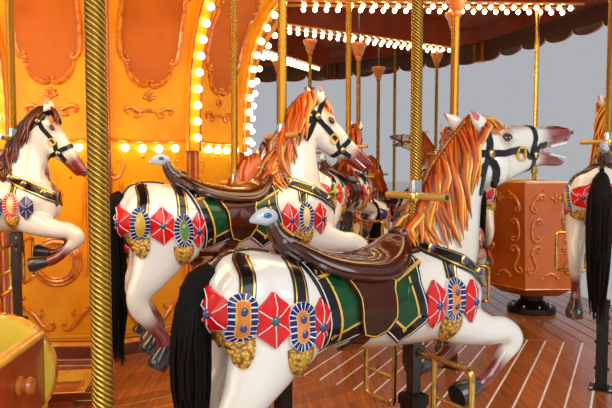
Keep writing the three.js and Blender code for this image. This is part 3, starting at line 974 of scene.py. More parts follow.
def medallion(shape, skin, spec, side, oval_centre, fine, stone):
    """A blue and white ring round a stone or two jewels, over a gilt drop."""
    x, z, wide, high = spec
    shape_of = oval if oval_centre else stadium
    patch(shape, skin, drop(x, z - high * 0.86, wide, 0.094), [(0, "drop_gilt")], side, 0.010, 28, 0.014)
    centre = stone if oval_centre else "medal_centre"
    ring = 0.50 * wide
    bands = [(0, "trim_white"), (0.0018, "trim_blue"), (ring, "trim_yellow"), (ring + 0.0025, centre)]
    count, every = (110, 5) if fine else (48, 4)
    patch(shape, skin, shape_of(x, z, wide, high), bands, side, 0.018, count, 0.004, (2, every, "trim_white"))
    if oval_centre:
        p = skin.side(x, z, side, 0.019)
        shape.add(*ball(p, 0.46 * wide, 6, 16, (0.9, 0.28, 0.9 * high / wide)), stone)
        return
    for dz in (-0.30 * high, 0.30 * high):
        p = skin.side(x, z + dz, side, 0.021)
        shape.add(*ball(p, 0.0125, 5, 12, (1, 0.5, 1)), "jewel_blue")


def red_hexagon(shape, skin, spec, side, stone):
    """A domed red hexagon with white lines from its corners to a stone."""
    x, z, wide, high = spec
    outline = hexagon(x, z, wide, high)
    patch(shape, skin, outline, [(0, "trim_red"), (0.008, "trim_red")], side, 0.013, 36, 0.010)
    middle = skin.side(x, z, side, 0.024)
    for u, v in hexagon(0, 0, 0.80 * wide, 0.80 * high):
        line = []
        for share, lift in ((0.18, 0.0258), (0.60, 0.0240), (1.15, 0.0150)):
            line.append(skin.side(x + share * u, z + share * v, side, lift))
        shape.add(*rod(line, 0.0018, 4), "trim_white")
    shape.add(*ball(middle, JEWEL, 5, 10, (1, 0.6, 1)), stone)


def saddle_seat(shape):
    """The seat: an arched shell between the cantle and the pommel, with a rolled gold edge."""
    stations = spline(SADDLE, 26)
    arc = 15
    middle = 0.33
    outer, inner = [], []
    for x, top, edge, wide in stations:
        for k in range(arc):
            a = math.pi * (k / (arc - 1) - 0.5)
            y = wide * math.sin(a)
            dip = 0.016 * math.cos(a * 2) if abs(a) < 0.8 else 0
            z = edge + (top - edge) * math.cos(a) ** 0.9 - 0.5 * dip * (1 - abs(x + middle) / middle)
            outer.append((x, y, z))
            inner.append((x, y * 0.9, z - 0.024))
    faces = grid_faces(len(stations), arc, closed=False)
    shape.add(outer, faces, "saddle")
    shape.add(inner, [f[::-1] for f in faces], "saddle")
    for column in (0, arc - 1):
        edge = [outer[r * arc + column] for r in range(len(stations))]
        shape.add(*rod(edge, 0.013, 8), "saddle")
        line = [(x, y * 1.055, z + 0.004) for x, y, z in edge]
        shape.add(*rod([p for p in line if p[0] < FLAP_FROM], 0.0035, 6), "trim_gold")
        shape.add(*rod([p for p in line if p[0] > FLAP_TO], 0.0035, 6), "trim_gold")
    for row in (0, len(stations) - 1):
        shape.add(*rod(outer[row * arc : (row + 1) * arc], 0.015, 8), "saddle")


def bird_cantle(shape):
    """The cantle carved as the neck and head of a bird that looks back."""
    neck = [(-0.545, 1.178, 0.044, 0.058), (-0.578, 1.202, 0.037, 0.042), (-0.600, 1.228, 0.028, 0.030)]
    neck += [(-0.608, 1.252, 0.023, 0.024), (-0.615, 1.268, 0.014, 0.018)]
    shape.add(*limb(neck, 20, 14), "saddle")
    for side in (-1, 1):
        line = [(-0.562, 0.050 * side, 1.216), (-0.585, 0.038 * side, 1.236), (-0.597, 0.028 * side, 1.255)]
        shape.add(*rod(spline(line, 8), 0.005, 6), "trim_gold")
    head = [(-0.600, 1.261, 0.011, 0.014), (-0.616, 1.272, 0.026, 0.026), (-0.640, 1.276, 0.029, 0.027)]
    head += [(-0.662, 1.273, 0.022, 0.019), (-0.680, 1.268, 0.014, 0.012), (-0.693, 1.263, 0.005, 0.005)]
    shape.add(*limb(head, 20, 14), "bird_paint")
    for side in (-1, 1):
        shape.add(*ball((-0.641, 0.0240 * side, 1.281), 0.0120, 5, 10, (1.3, 0.5, 0.8)), "eye_blue")
        shape.add(*ball((-0.642, 0.0282 * side, 1.282), 0.0040, 4, 6), "eye_dark")


def body_trappings(shape, skin, oval_centre, fine):
    """Blanket, flaps, straps, hexagons, medallions and breast collar on both sides, and crupper."""
    for side in (-1, 1):
        patch(shape, skin, BLANKET_REAR, BLANKET_BANDS, side, 0.010, 40)
        patch(shape, skin, BLANKET_FRONT, BLANKET_BANDS, side, 0.010, 40)
        patch(shape, skin, STRAP_END, [(0, "saddle")], side, 0.012, 12)
        patch(shape, skin, FLAP, FLAP_BANDS, side, 0.026, 44, 0.004)
        for path in HANGERS:
            ribbon(shape, skin, side_path(skin, path, side, 8), 0.048, STRAP_COLUMNS)
        for spec, stone in zip(HEXAGONS, HEXAGON_STONES):
            red_hexagon(shape, skin, spec, side, stone)
        for spec, stone in zip(MEDALS, STONES):
            medallion(shape, skin, spec, side, oval_centre, fine, stone)
        route = side_path(skin, BREAST, side, 14)
        route.append(skin.cling((0.36, 0.02 * side, 0.965), 0))
        ribbon(shape, skin, route, 0.062, STRAP_COLUMNS, 0.010)
        for x, z in BREAST_JEWELS:
            p = skin.side(x, z, side, 0.013)
            shape.add(*ball(p, JEWEL, 5, 10, (1, 0.6, 1)), "jewel_blue")
            shape.add(*ball(p, 0.0185, 4, 10, (1, 0.35, 1)), "trim_gold")
    crupper = [(-0.60, 0, 1.30), (-0.70, 0, 1.30), (-0.80, 0, 1.24), (-0.86, 0, 1.14)]
    ribbon(shape, skin, [skin.cling(p, 0) for p in spline(crupper, 10)], 0.022, ["trim_black"] * 2)


STRAP_SAMPLES = 12


def head_point(x, y, z, pose):
    return head_place([(x, y, z)], pose)[0]


def head_strap(shape, skin, pose, points, width, finish="trim_black", lift=0.005):
    """A strap laid on the head through points of the level head's frame."""
    path = [skin.cling(head_point(*p, pose), 0.0) for p in points]
    ribbon(shape, skin, path, width, [finish] * 3, lift)


def rosette(shape, skin, pose, x, z, side, size):
    """A blue stone in a gold cup on a black boss."""
    centre = skin.cling(head_point(x, 0.09 * side, z, pose), 0.008)
    shape.add(*ball(centre, size, 5, 12, (1, 0.4, 1)), "trim_black")
    shape.add(*ball(centre, size * 0.78, 5, 12, (1, 0.72, 1)), "trim_gold")
    shape.add(*ball(centre, size * 0.55, 5, 10, (1, 1.15, 1)), "jewel_blue")


def bridle(shape, skin, pose):
    """Cheek straps, noseband, brow band, throat lash and two hanging straps."""
    out = 0.09
    for side in (-1, 1):
        y = out * side
        straps = [
            (0.028, [(-0.045, y, -0.118), (0.10, y, -0.118), (0.27, y, -0.114), (0.415, 0.8 * y, -0.104)]),
            (0.030, [(0.020, 0.7 * y, 0.01), (0.028, y, -0.06), (0.034, y, -0.125)]),
            (0.031, [(0.036, y, -0.13), (0.058, y, -0.21), (0.068, 0.8 * y, -0.290)]),
            (0.027, [(0.025, y, -0.13), (0.004, y, -0.20), (-0.004, y, -0.285)]),
            (0.024, [(0.005, y, -0.165), (-0.035, y, -0.200), (-0.085, y, -0.225)]),
        ]
        for width, points in straps:
            head_strap(shape, skin, pose, spline(points, STRAP_SAMPLES), width)
        rosette(shape, skin, pose, 0.038, -0.120, side, 0.024)
        rosette(shape, skin, pose, 0.333, -0.113, side, 0.021)
        buckle = [(0.215, y, -0.100), (0.255, y, -0.100), (0.257, y, -0.133), (0.213, y, -0.133)]
        buckle.append((0.213, y, -0.102))
        head_strap(shape, skin, pose, spline(buckle, STRAP_SAMPLES), 0.009, "trim_yellow", 0.009)
    loop = [(0.328, out * math.sin(a), -0.09 + 0.12 * math.cos(a)) for a in [*ring_angles(16), 2 * math.pi]]
    head_strap(shape, skin, pose, loop, 0.028)
    brow = [(0.030, 0.07, -0.03), (0.035, 0.0, 0.06), (0.030, -0.07, -0.03)]
    head_strap(shape, skin, pose, spline(brow, STRAP_SAMPLES), 0.024)


# Colours of a lock: painted shade at its edges, its body, and a painted highlight along its raised lines.
LOCK_COLOURS = {
    "orange": [(0.26, 0.009, 0.002), (0.62, 0.130, 0.004), (0.95, 0.58, 0.060)],
    "dark": [(0.008, 0.002, 0.002), (0.050, 0.005, 0.004), (0.34, 0.055, 0.008)],
}


def lock(shape, path, width, thick, colours, sides, samples, bright=1.0):
    """One carved lock of hair: flat and tapering, with painted shade at its edges and a painted highlight
    along its raised lines, lighter on one side.
    """
    p = spline(path, samples)
    grooves, body, ridge_highlight = (np.array(c) * bright for c in colours)
    tangent = np.gradient(p, axis=0)
    tangent /= np.linalg.norm(tangent, axis=1)[:, None]
    points, paint = [], []
    for i, (centre, t) in enumerate(zip(p, tangent)):
        u = i / (samples - 1)
        taper = (math.sin(math.pi * (0.18 + 0.80 * u)) ** 0.7) * (1 - 0.35 * u)
        out = np.array([0.0, math.copysign(1.0, centre[1] + 1e-6), 0.25])
        out -= t * (out @ t)
        out /= np.linalg.norm(out)
        across = np.cross(t, out)
        for a in ring_angles(sides):
            ridge = math.cos(LOCK_RIDGES * a)
            thickness = thick * math.sin(a) * (1 + 0.30 * ridge)
            points.append(centre + taper * (across * width * math.cos(a) + out * thickness))
            # Painted shade in the low parts and at the edges. A painted highlight goes on the raised lines of
            # one side, and a lighter body on the other side.
            raised = abs(math.sin(a)) * (0.65 + 0.35 * ridge)
            crest = ridge_highlight if math.cos(a) < 0 else 1.25 * body
            paint.append(crest if raised > 0.6 else body if raised > 0.25 else grooves)
    shape.add(points, capped(samples, sides), "carved_mane", paint)


# The mane from poll to withers: x, z where it leaves the neck, x, z where it ends, and its swing.
MANES = {
    "lifted": [
        (0.300, 1.635, 0.235, 1.42, 0.0),
        (0.245, 1.590, 0.205, 1.30, -0.01),
        (0.165, 1.520, 0.150, 1.165, -0.02),
        (0.095, 1.440, 0.085, 1.145, -0.02),
        (0.045, 1.355, 0.015, 1.140, -0.03),
        (0.015, 1.27, -0.050, 1.160, -0.04),
    ],
    "bowed": [
        (0.205, 1.600, 0.120, 1.40, -0.01),
        (0.140, 1.572, 0.060, 1.30, -0.02),
        (0.075, 1.505, 0.020, 1.20, -0.03),
        (0.020, 1.405, -0.010, 1.13, -0.04),
        (-0.010, 1.30, -0.060, 1.11, -0.05),
        (-0.020, 1.21, -0.110, 1.12, -0.05),
    ],
}
LOCK_RIDGES = 6
LOCK_THICK = 0.012
# Widths of all the locks of one side, laid next to each other.
MANE_SPREAD = 0.62
# How far a lock may lie from the skin and still follow it.
LOCK_STRAY = 0.03


def mane(shape, skin, pose, palette, fine):
    """Overlapping locks that leave the crest and sweep down the neck on both sides."""
    locks = 28 if fine else 11
    sides, samples = (12, 9) if fine else (8, 6)
    stations = spline(MANES[HEADS[pose]["neck"]], locks)
    width = MANE_SPREAD / locks
    for side in (-1, 1):
        for i, (crest_x, crest_z, tip_x, tip_z, swing) in enumerate(stations):
            lift = 0.010 + 0.008 * (i % 3)
            longer = 0.018 * ((i * 7) % 5 - 2) / 2
            path = [(crest_x, 0.012 * side, crest_z)]
            for t in (0.22, 0.48, 0.75, 1.0):
                bow = swing * math.sin(math.pi * t) + 0.010 * math.sin(2 * math.pi * t + i)
                x = crest_x + (tip_x - crest_x) * t + bow
                z = crest_z + (tip_z - longer - crest_z) * t**0.92
                p = skin.side(x, z, side, lift * (1.2 - 0.5 * t))
                y = 0.035
                if (p.x - x) ** 2 + (p.z - z) ** 2 < LOCK_STRAY**2:
                    y = max(abs(p.y), 0.030 + 0.02 * t)
                path.append((x, y * side, z))
            bright = 0.72 + 0.14 * (i * 5 % 4)
            lock(shape, path, width, LOCK_THICK, LOCK_COLOURS[palette], sides, samples, bright)
    forelock(shape, pose, palette, sides, samples)


def forelock(shape, pose, palette, sides, samples):
    for side, reach in ((-1, 0.13), (1, 0.14), (-1, 0.09), (1, 0.10)):
        path = [(-0.03, 0.010 * side, 0.004), (0.02, 0.020 * side, 0.016)]
        path += [(reach * 0.75, 0.030 * side, 0.010), (reach, 0.044 * side, -0.020)]
        lock(shape, head_place(path, pose), 0.018, 0.010, LOCK_COLOURS[palette], sides, samples)


def tail(shape, fine):
    """A real-hair tail: many thin strands that leave the dock, swell and hang."""
    strands = 64 if fine else 26
    sides, samples = (5, 12) if fine else (4, 8)
    thick = 0.0085 if fine else 0.013
    radii = np.interp(np.linspace(0, 5, samples), range(6), thick * np.array([0.7, 1, 1.1, 1, 0.8, 0.3]))
    draw = np.random.default_rng(11)
    for i in range(strands):
        a = 2 * math.pi * i / strands * 2.4
        r = math.sqrt((i + 0.5) / strands)
        dx, dy = 0.052 * r * math.cos(a), 0.058 * r * math.sin(a)
        wave = draw.uniform(-0.018, 0.018)
        length = draw.uniform(0.60, 0.76)
        path = [(-0.815, 0.2 * dy, 1.125), (-0.862 + 0.5 * dx, 0.6 * dy, 1.105), (-0.890 + dx, dy, 0.98)]
        path += [(-0.898 + dx + wave, dy, 0.80), (-0.888 + 0.9 * dx - wave, 0.9 * dy, 0.62)]
        path.append((-0.890 + 0.6 * dx, 0.6 * dy, 1.12 - length))
        shape.add(*rod(spline(path, samples), radii, sides), "tail_hair")
    core = [(-0.825, 1.12, 0.030, 0.030), (-0.878, 1.08, 0.040, 0.045), (-0.895, 0.95, 0.046, 0.050)]
    core += [(-0.900, 0.78, 0.042, 0.045), (-0.890, 0.60, 0.028, 0.028), (-0.888, 0.48, 0.010, 0.010)]
    shape.add(*limb(core, 14, 10), "tail_hair")


# Pole. Same frame as the figure, with the pole on the Z axis.

GRIP_Z = 1.325
REST_BAR_Z, REST_TREAD_Z, REST_FOOT_Z = 0.741, 0.60, 0.491
REST_INNER = 0.11
REST_CORNER = 0.022


def cup(shape):
    """The carved drip cup near the top of the pole, and the crank rod above it."""
    profile = [(0.020, 2.46), (0.032, 2.475), (0.030, 2.50), (0.046, 2.52), (0.056, 2.56), (0.078, 2.60)]
    profile += [(0.083, 2.612), (0.083, 2.628), (0.060, 2.636), (0.012, 2.64)]
    shape.add(*lathe(profile, 16), "cup_orange")
    shape.add(*lathe([(0.0095, 2.635), (0.0095, 2.99)], 8), "dark_steel")


def grip(shape):
    """The wooden hand grip through the pole, with dark ends, and the steel collar over it."""
    for side in (-1, 1):
        bar = [(0, y * side, GRIP_Z) for y in (0.018, 0.09, 0.152, 0.160)]
        shape.add(*rod(bar, [0.0135, 0.0145, 0.0145, 0.0125], 12), "handle_wood")
        end = [(0, y * side, GRIP_Z) for y in (0.1575, 0.1620)]
        shape.add(*rod(end, [0.0105, 0.0095], 12), "dark_steel")
    collar = [(0.0215, 1.336), (0.0255, 1.339), (0.0255, 1.383), (0.0215, 1.386)]
    shape.add(*lathe(collar, 20), "chrome")
    hub = [(0.021, 1.300), (0.024, 1.305), (0.024, 1.336), (0.021, 1.340)]
    shape.add(*lathe(hub, 16), "brass")


def foot_rest(shape, half):
    """Brass bar through the pole with a stirrup hanging from each end."""
    outer = half - 0.011
    near = 0.3 * REST_CORNER
    loop = [(0.02, REST_BAR_Z), (outer - REST_CORNER, REST_BAR_Z), (outer - near, REST_BAR_Z - near)]
    loop += [(outer, REST_BAR_Z - REST_CORNER), (outer, REST_FOOT_Z + REST_CORNER)]
    loop += [(outer - near, REST_FOOT_Z + near), (outer - REST_CORNER, REST_FOOT_Z)]
    loop += [(REST_INNER + REST_CORNER, REST_FOOT_Z), (REST_INNER + near, REST_FOOT_Z + near)]
    loop += [(REST_INNER, REST_FOOT_Z + REST_CORNER), (REST_INNER, REST_BAR_Z)]
    tread = [(REST_INNER, REST_TREAD_Z), (outer, REST_TREAD_Z)]
    for side in (-1, 1):
        shape.add(*rod([(0.0, y * side, z) for y, z in loop], 0.0105, 8), "brass")
        shape.add(*rod([(0.0, y * side, z) for y, z in tread], 0.0075, 8), "brass")
    shape.add(*rod([(0, -0.035, REST_BAR_Z), (0, 0.035, REST_BAR_Z)], 0.0165, 10), "dark_steel")


def slide(shape):
    """Steel slide below the horse, with its bracket and bolts, which runs in the guide."""
    for h, z0, z1 in ((0.019, 0.042, 0.90), (0.030, 0.690, 0.80)):
        points = [(x, y, z) for z in (z0, z1) for x, y in ((-h, -h), (h, -h), (h, h), (-h, h))]
        shape.add(points, capped(2, 4), "dark_steel")
    for side in (-1, 1):
        for z in (0.71, 0.775):
            shape.add(*rod([(0.012, 0.028 * side, z), (0.012, 0.037 * side, z)], 0.007, 6), "brass")


REST_HALF = {"outer": 0.30, "middle": 0.26, "inner": 0.30}


@cache
def pole_mesh(row):
    """The pole of a row's horses with all that rides on it."""
    shape = Shape()
    shape.add(*rod([(0, 0, 1.165), (0, 0, 1.8), (0, 0, 2.47)], 0.0213, 20), "rope_brass")
    grip(shape)
    foot_rest(shape, REST_HALF[row])
    slide(shape)
    cup(shape)
    return shape.mesh(f"pole_{row}")


# Ornament


def mirrored(line, side):
    """A line as it is for side 1, and flipped across for side -1."""
    return [(side * u, v) for u, v in line]


def around(part, count, turn=0.0):
    """Copies of a shape set evenly round the carousel's axis."""
    out = Shape()
    points = np.concatenate(part.points)
    paint = np.concatenate(part.paint)
    for a in ring_angles(count):
        out.add(turn_z(points, turn + a), part.faces, list(part.finishes), paint)
    return out


def sweep(shape, path, section, finishes):
    """A moulding: a section (across, out) carried along points (radius, z) that face outwards."""
    path = np.asarray(path, float)
    along = np.gradient(path, axis=0)
    along /= np.linalg.norm(along, axis=1)[:, None]
    columns = len(section)
    points = []
    for (r, z), (dr, dz) in zip(path, along):
        for y, out in section:
            points.append((r + out * dz, y, z - out * dr))
    faces = grid_faces(len(path), columns, closed=False)
    names = finishes * (len(path) - 1)
    for end, flip in ((0, -1), ((len(path) - 1) * columns, 1)):
        faces.append([end + c for c in range(columns)][::flip])
        names.append(finishes[0])
    shape.add(points, faces, names)


def symmetric_sweep(shape, path, half, finishes):
    """A moulding whose section and finishes are given for one half."""
    sweep(shape, path, half + mirrored(half[::-1], -1), finishes + finishes[-2::-1])


C_SCROLL = [(0.30, 0.60), (0.52, 0.68), (0.56, 0.88), (0.30, 1.0), (-0.05, 0.85), (-0.20, 0.45)]
C_SCROLL += [(-0.24, 0.0), *((u, -v) for u, v in C_SCROLL[::-1])]
S_SCROLL = [(-0.30, 0.58), (-0.50, 0.70), (-0.42, 0.95), (-0.05, 0.95), (0.18, 0.55), (0.04, 0.0)]
S_SCROLL += [(-0.14, -0.55), (0.08, -0.95), (0.44, -0.95), (0.50, -0.70), (0.30, -0.58)]


def carving(shape, at, path, radius, finish, samples=22):
    """A carved line on a face, thin at its ends, with a bud on each. at(u, v, out) gives a point."""
    curve = spline(path, samples)
    t = np.linspace(-1, 1, samples)
    radii = radius * (1.3 - 0.6 * t**2)
    shape.add(*rod([at(u, v, 0.3 * radius) for u, v in curve], radii, 7), finish)
    for u, v in (curve[0], curve[-1]):
        shape.add(*ball(at(u, v, 0.5 * radius), 1.15 * radius, 5, 8), finish)


def scroll(shape, at, form, centre, size, angle, radius, finish, mirror=1):
    """A C or S scroll, sized, turned and set at a centre; mirror = -1 reverses it."""
    c, s = math.cos(angle), math.sin(angle)
    path = []
    for u, v in form:
        x, y = u * size * mirror, v * size
        path.append((centre[0] + c * x - s * y, centre[1] + s * x + c * y))
    carving(shape, at, path, radius, finish)


def shell_fan(shape, at, centre, size, finish, lobes=5, spread=1.15):
    """A carved shell: lobes fanned over a small bud."""
    for i in range(lobes):
        a = spread * (2 * i / (lobes - 1) - 1)
        reach = size * (1 - 0.22 * abs(a))
        line = []
        for t in (0.12, 0.4, 0.7, 1.0):
            u, v = centre[0] + reach * t * math.sin(a), centre[1] + reach * t * math.cos(a)
            line.append(at(u, v, 0.05 * size))
        shape.add(*rod(line, [0.05 * size, 0.13 * size, 0.19 * size, 0.10 * size], 7), finish)
    shape.add(*ball(at(centre[0], centre[1], 0.1 * size), 0.20 * size, 5, 8), finish)


def sprig(shape, at, centre, size, finish):
    """A pair of curled leaves either side of a bud."""
    leaf = [(0.12, 0.0), (0.40, -0.06), (0.75, 0.10), (1.0, 0.02), (0.92, -0.12)]
    curl = [(0.30, -0.03), (0.42, -0.22), (0.58, -0.26), (0.60, -0.14)]
    for side in (-1, 1):
        for line, thick, samples in ((leaf, 0.07, 22), (curl, 0.06, 12)):
            path = [(centre[0] + side * size * u, centre[1] + size * v) for u, v in line]
            carving(shape, at, path, thick * size, finish, samples)
    shape.add(*ball(at(centre[0], centre[1], 0.01), 0.085 * size, 5, 8), finish)


def bulb(shape, base, axis, size=0.030):
    """A round lamp on a brass collar, standing out along an axis."""
    base, axis = Vector(base), Vector(axis).normalized()
    shape.add(*rod([base - axis * 0.004, base + axis * 0.018], [0.55 * size, 0.48 * size], 8), "brass")
    points, faces = ball((0, 0, 0), size, 6, 10, (1, 1, 1.06))
    turn = np.array(axis.to_track_quat("Z", "Y").to_matrix())
    shape.add(points @ turn.T + np.array(base + axis * (0.018 + 0.78 * size)), faces, "lamp")


# Drum

DRUM_LOWER_R = 1.346
DRUM_FOOT, DRUM_SPLIT, DRUM_HEAD = 0.4203, 1.85, 3.258
DRUM_LINE = [(1.371, DRUM_SPLIT + 0.002), (1.378, 2.20), (1.406, 2.48), (1.455, 2.72), (1.531, 2.92)]
DRUM_LINE += [(1.640, 3.10), (1.776, DRUM_HEAD)]
DRUM_CURVE = spline(DRUM_LINE, 49)
LINE = 0.016


def drum_radius(z):
    """Radius of the drum's corners: upright below, flaring above."""
    if z < DRUM_SPLIT:
        return DRUM_LOWER_R
    return float(np.interp(z, DRUM_CURVE[:, 1], DRUM_CURVE[:, 0]))


def on_panel(u, z, out=0.0):
    """A point on the drum face that looks along +X: across, height, and distance off it."""
    return (drum_radius(z) * FLAT + out, u, z)


def face_patch(shape, at, outline, out, finish, rings=5):
    """A flat raised panel that follows a curved face."""
    ring = np.asarray(outline, float)
    middle = ring.mean(axis=0)
    count = len(ring)
    points = [at(u, v, 0.0) for u, v in ring]
    for i in range(rings):
        points += [at(*(middle + (1 - i / rings) * (p - middle)), out) for p in ring]
    points.append(at(*middle, out))
    shape.add(points, grid_faces(rings + 1, count) + fan(count, rings * count, len(points) - 1), finish)


def drum_wall(z0, z1, samples, finish):
    """One flat-fronted side of the drum between two ribs."""
    shape = Shape()
    columns = 5
    points = []
    for z in np.linspace(z0, z1, samples):
        half = drum_radius(z) * math.sin(STEP / 2)
        for u in np.linspace(-half, half, columns):
            points.append(on_panel(u, z))
    shape.add(points, grid_faces(samples, columns, False), finish)
    return shape


CARTOUCHE = [(0.0, 2.335), (0.075, 2.350), (0.135, 2.410), (0.170, 2.500), (0.222, 2.560), (0.232, 2.70)]
CARTOUCHE += [(0.236, 2.86), (0.255, 2.97), (0.235, 3.06), (0.16, 3.13), (0.08, 3.16), (0.0, 3.175)]
# The carved frame round the cartouche: its side, foot and crown, drawn for one half.
FRAME_SIDE = [(0.262, 2.985), (0.232, 2.960), (0.238, 2.90), (0.238, 2.75), (0.232, 2.62), (0.222, 2.560)]
FRAME_SIDE += [(0.198, 2.520), (0.166, 2.512), (0.170, 2.54)]
FRAME_FOOT = [(0.176, 2.485), (0.160, 2.440), (0.125, 2.385), (0.070, 2.345), (0.020, 2.340), (0.018, 2.370)]
FRAME_CROWN = [(0.236, 3.02), (0.262, 3.05), (0.230, 3.09), (0.15, 3.135), (0.07, 3.165), (0.02, 3.175)]
LAMP_LINE_Z = 1.900


def upper_panel():
    """Leaning panel: a deep orange cartouche in a carved frame, over a shell and a sprig."""
    shape = drum_wall(DRUM_SPLIT + 0.002, DRUM_HEAD, 26, "panel_yellow")
    half = spline(CARTOUCHE, 40)
    outline = np.vstack([half, half[-2:0:-1] * np.array([-1, 1])])
    face_patch(shape, on_panel, outline, 0.004, "panel_deep")
    for side in (-1, 1):
        for line, samples in ((FRAME_SIDE, 34), (FRAME_FOOT, 26), (FRAME_CROWN, 26)):
            carving(shape, on_panel, mirrored(line, side), LINE, "carving_gilt", samples)
        for u, v in ((0.218, 2.63), (0.150, 2.46)):
            shape.add(*ball(on_panel(side * u, v, 0.008), 0.014, 5, 8), "carving_gilt")
    shell_fan(shape, on_panel, (0.0, 2.235), 0.075, "carving_gilt")
    sprig(shape, on_panel, (0.0, 2.155), 0.185, "carving_gilt")
    half_wide = drum_radius(LAMP_LINE_Z) * math.sin(STEP / 2) - 0.03
    edge = []
    for u in np.linspace(-half_wide, half_wide, 25):
        dip = 0.020 * (1 - (u / half_wide) ** 2)
        edge.append(on_panel(u, LAMP_LINE_Z + 0.035 - dip, 0.004))
    shape.add(*rod(edge, 0.012, 8), "carving_gilt")
    for u in np.linspace(-0.195, 0.195, 4):
        dip = 0.018 * (1 - (u / half_wide) ** 2)
        bulb(shape, on_panel(u, LAMP_LINE_Z - dip, 0.0), (1, 0, -0.5))
    return shape


RIB_LAMP_STEP = 0.128


def drum_rib():
    """A pilaster over each corner of the upper drum, with a row of lamps down it."""
    shape = Shape()
    section = [(-0.062, -0.03), (-0.062, 0.030), (-0.058, 0.036), (-0.050, 0.036), (-0.046, 0.028)]
    section.append((-0.040, 0.028))
    finishes = ["panel_yellow", *["panel_rust"] * 4, "panel_yellow"]
    symmetric_sweep(shape, DRUM_CURVE[::2], section, finishes)
    z = LAMP_LINE_Z + 0.055
    near = 0.02
    while z < 3.22:
        slope = (drum_radius(z + near) - drum_radius(z - near)) / (2 * near)
        bulb(shape, (drum_radius(z) + 0.026, 0, z), (1, 0, -slope))
        z += RIB_LAMP_STEP / math.hypot(1, slope)
    return shape


RING_Z = 1.02
LOWER_SCROLL = [(0.250, 0.755), (0.285, 0.735), (0.280, 0.690), (0.225, 0.665), (0.165, 0.610)]
LOWER_SCROLL += [(0.120, 0.545), (0.070, 0.510), (0.030, 0.530), (0.045, 0.560)]
LOWER_BUD = [(0.150, 0.600), (0.110, 0.625), (0.120, 0.655)]


def lower_panel():
    """Upright panel with a ring, scrolls and a shell inside vertical mouldings."""
    shape = drum_wall(DRUM_FOOT, DRUM_SPLIT, 8, "panel_yellow")
    gilt, gold = "carving_gilt", "panel_amber"
    circle = [(math.cos(a), math.sin(a)) for a in np.linspace(0, 2 * math.pi, 33)]
    for radius, size in ((0.020, 0.150), (0.012, 0.1755), (0.010, 0.126)):
        loop = [on_panel(size * u, RING_Z + size * v, 0.004) for u, v in circle]
        shape.add(*rod(loop, radius, 7), gilt)
    for side in (-1, 1):
        carving(shape, on_panel, mirrored(LOWER_SCROLL, side), LINE, gilt, 30)
        carving(shape, on_panel, mirrored(LOWER_BUD, side), 0.010, gilt, 8)
        scroll(shape, on_panel, C_SCROLL, (side * 0.225, 1.715), 0.085, side * 0.35, 0.014, gold, side)
        for u in (0.300, 0.275):
            shape.add(*rod([on_panel(side * u, z, 0.002) for z in (0.44, 1.0, 1.84)], 0.007, 6), gold)
        column = [on_panel(side * 0.212, z, 0.003) for z in (0.92, 1.25, 1.62)]
        shape.add(*rod(column, 0.015, 8), gold)
        shape.add(*ball(on_panel(side * 0.045, 1.805, 0.008), 0.019, 5, 8), gold)
    shell_fan(shape, on_panel, (0.0, 1.50), 0.085, gold)
    for z, radius in ((0.455, 0.012), (0.485, 0.007)):
        shape.add(*rod([on_panel(u, z, 0.002) for u in (-0.27, 0.0, 0.27)], radius, 6), gold)
    return shape


def lower_rib():
    """A pilaster over each corner of the lower drum."""
    shape = Shape()
    section = [(-0.062, -0.03), (-0.062, 0.024), (-0.052, 0.034), (-0.040, 0.024), (-0.022, 0.024)]
    section.append((-0.014, 0.032))
    finishes = ["panel_amber", "panel_rust", "panel_rust"] * 2
    path = [(DRUM_LOWER_R, z) for z in np.linspace(DRUM_FOOT, DRUM_SPLIT, 6)]
    symmetric_sweep(shape, path, section, finishes)
    return shape


def drum_plinth():
    """Dark plinth with a yellow bead along its top."""
    shape = Shape()
    profile = [(1.300, 0.3003), (1.4045, 0.3003), (1.4045, 0.385), (1.398, 0.392)]
    profile += [(1.398, 0.400), (1.390, 0.4095), (1.376, 0.4195), (1.300, 0.4195)]
    points, faces = lathe(profile, SECTORS, STEP / 2)
    bands = [*["plinth_brown"] * 3, *["panel_amber"] * 3, "plinth_brown"]
    names = [band for band in bands for _ in range(SECTORS)]
    shape.add(points, faces[: len(names)], names)
    return shape


def drum():
    upper = around(upper_panel(), SECTORS)
    fixed(upper, "drum_upper_panels", ["drum_upper"], share=0.6)
    fixed(around(drum_rib(), SECTORS, STEP / 2), "drum_ribs", share=0.6)
    lower = around(lower_panel(), SECTORS)
    fixed(lower, "drum_lower_panels", ["drum_lower"], share=0.6)
    fixed(around(lower_rib(), SECTORS, STEP / 2), "drum_pilasters")
    fixed(drum_plinth(), "drum_plinth", ["drum_base"])


# Deck

BOARD_WIDE = 0.137
BOARD_GAP = 0.006
CORNER_CUT = 0.02
BOARD_BOTTOM = 0.2583
FIRST_BOARD = 0.30
FIRST_STRIP = 1.5
STRIP_LAP = 0.003


def half_run(x):
    """Half a board's length at a distance from the middle: to the mitre, or to the deck's rim."""
    slope = math.tan(STEP / 2)
    return min(x * slope, (DECK_RADIUS - x) / slope)


def board(shape, inner, outer, tint):
    """One floor board, cut at the mitre or at the rim at both ends, with eased edges."""
    ease = 0.004
    points = []
    for z, shrink in ((BOARD_BOTTOM, 0), (DECK_TOP - ease, 0), (DECK_TOP, ease)):
        for x, side in ((inner + shrink, -1), (outer - shrink, -1), (outer - shrink, 1), (inner + shrink, 1)):
            points.append((x, side * (half_run(x) - BOARD_GAP / 2 - shrink), z))
    shape.add(points, capped(3, 4), "deck_wood", tint)


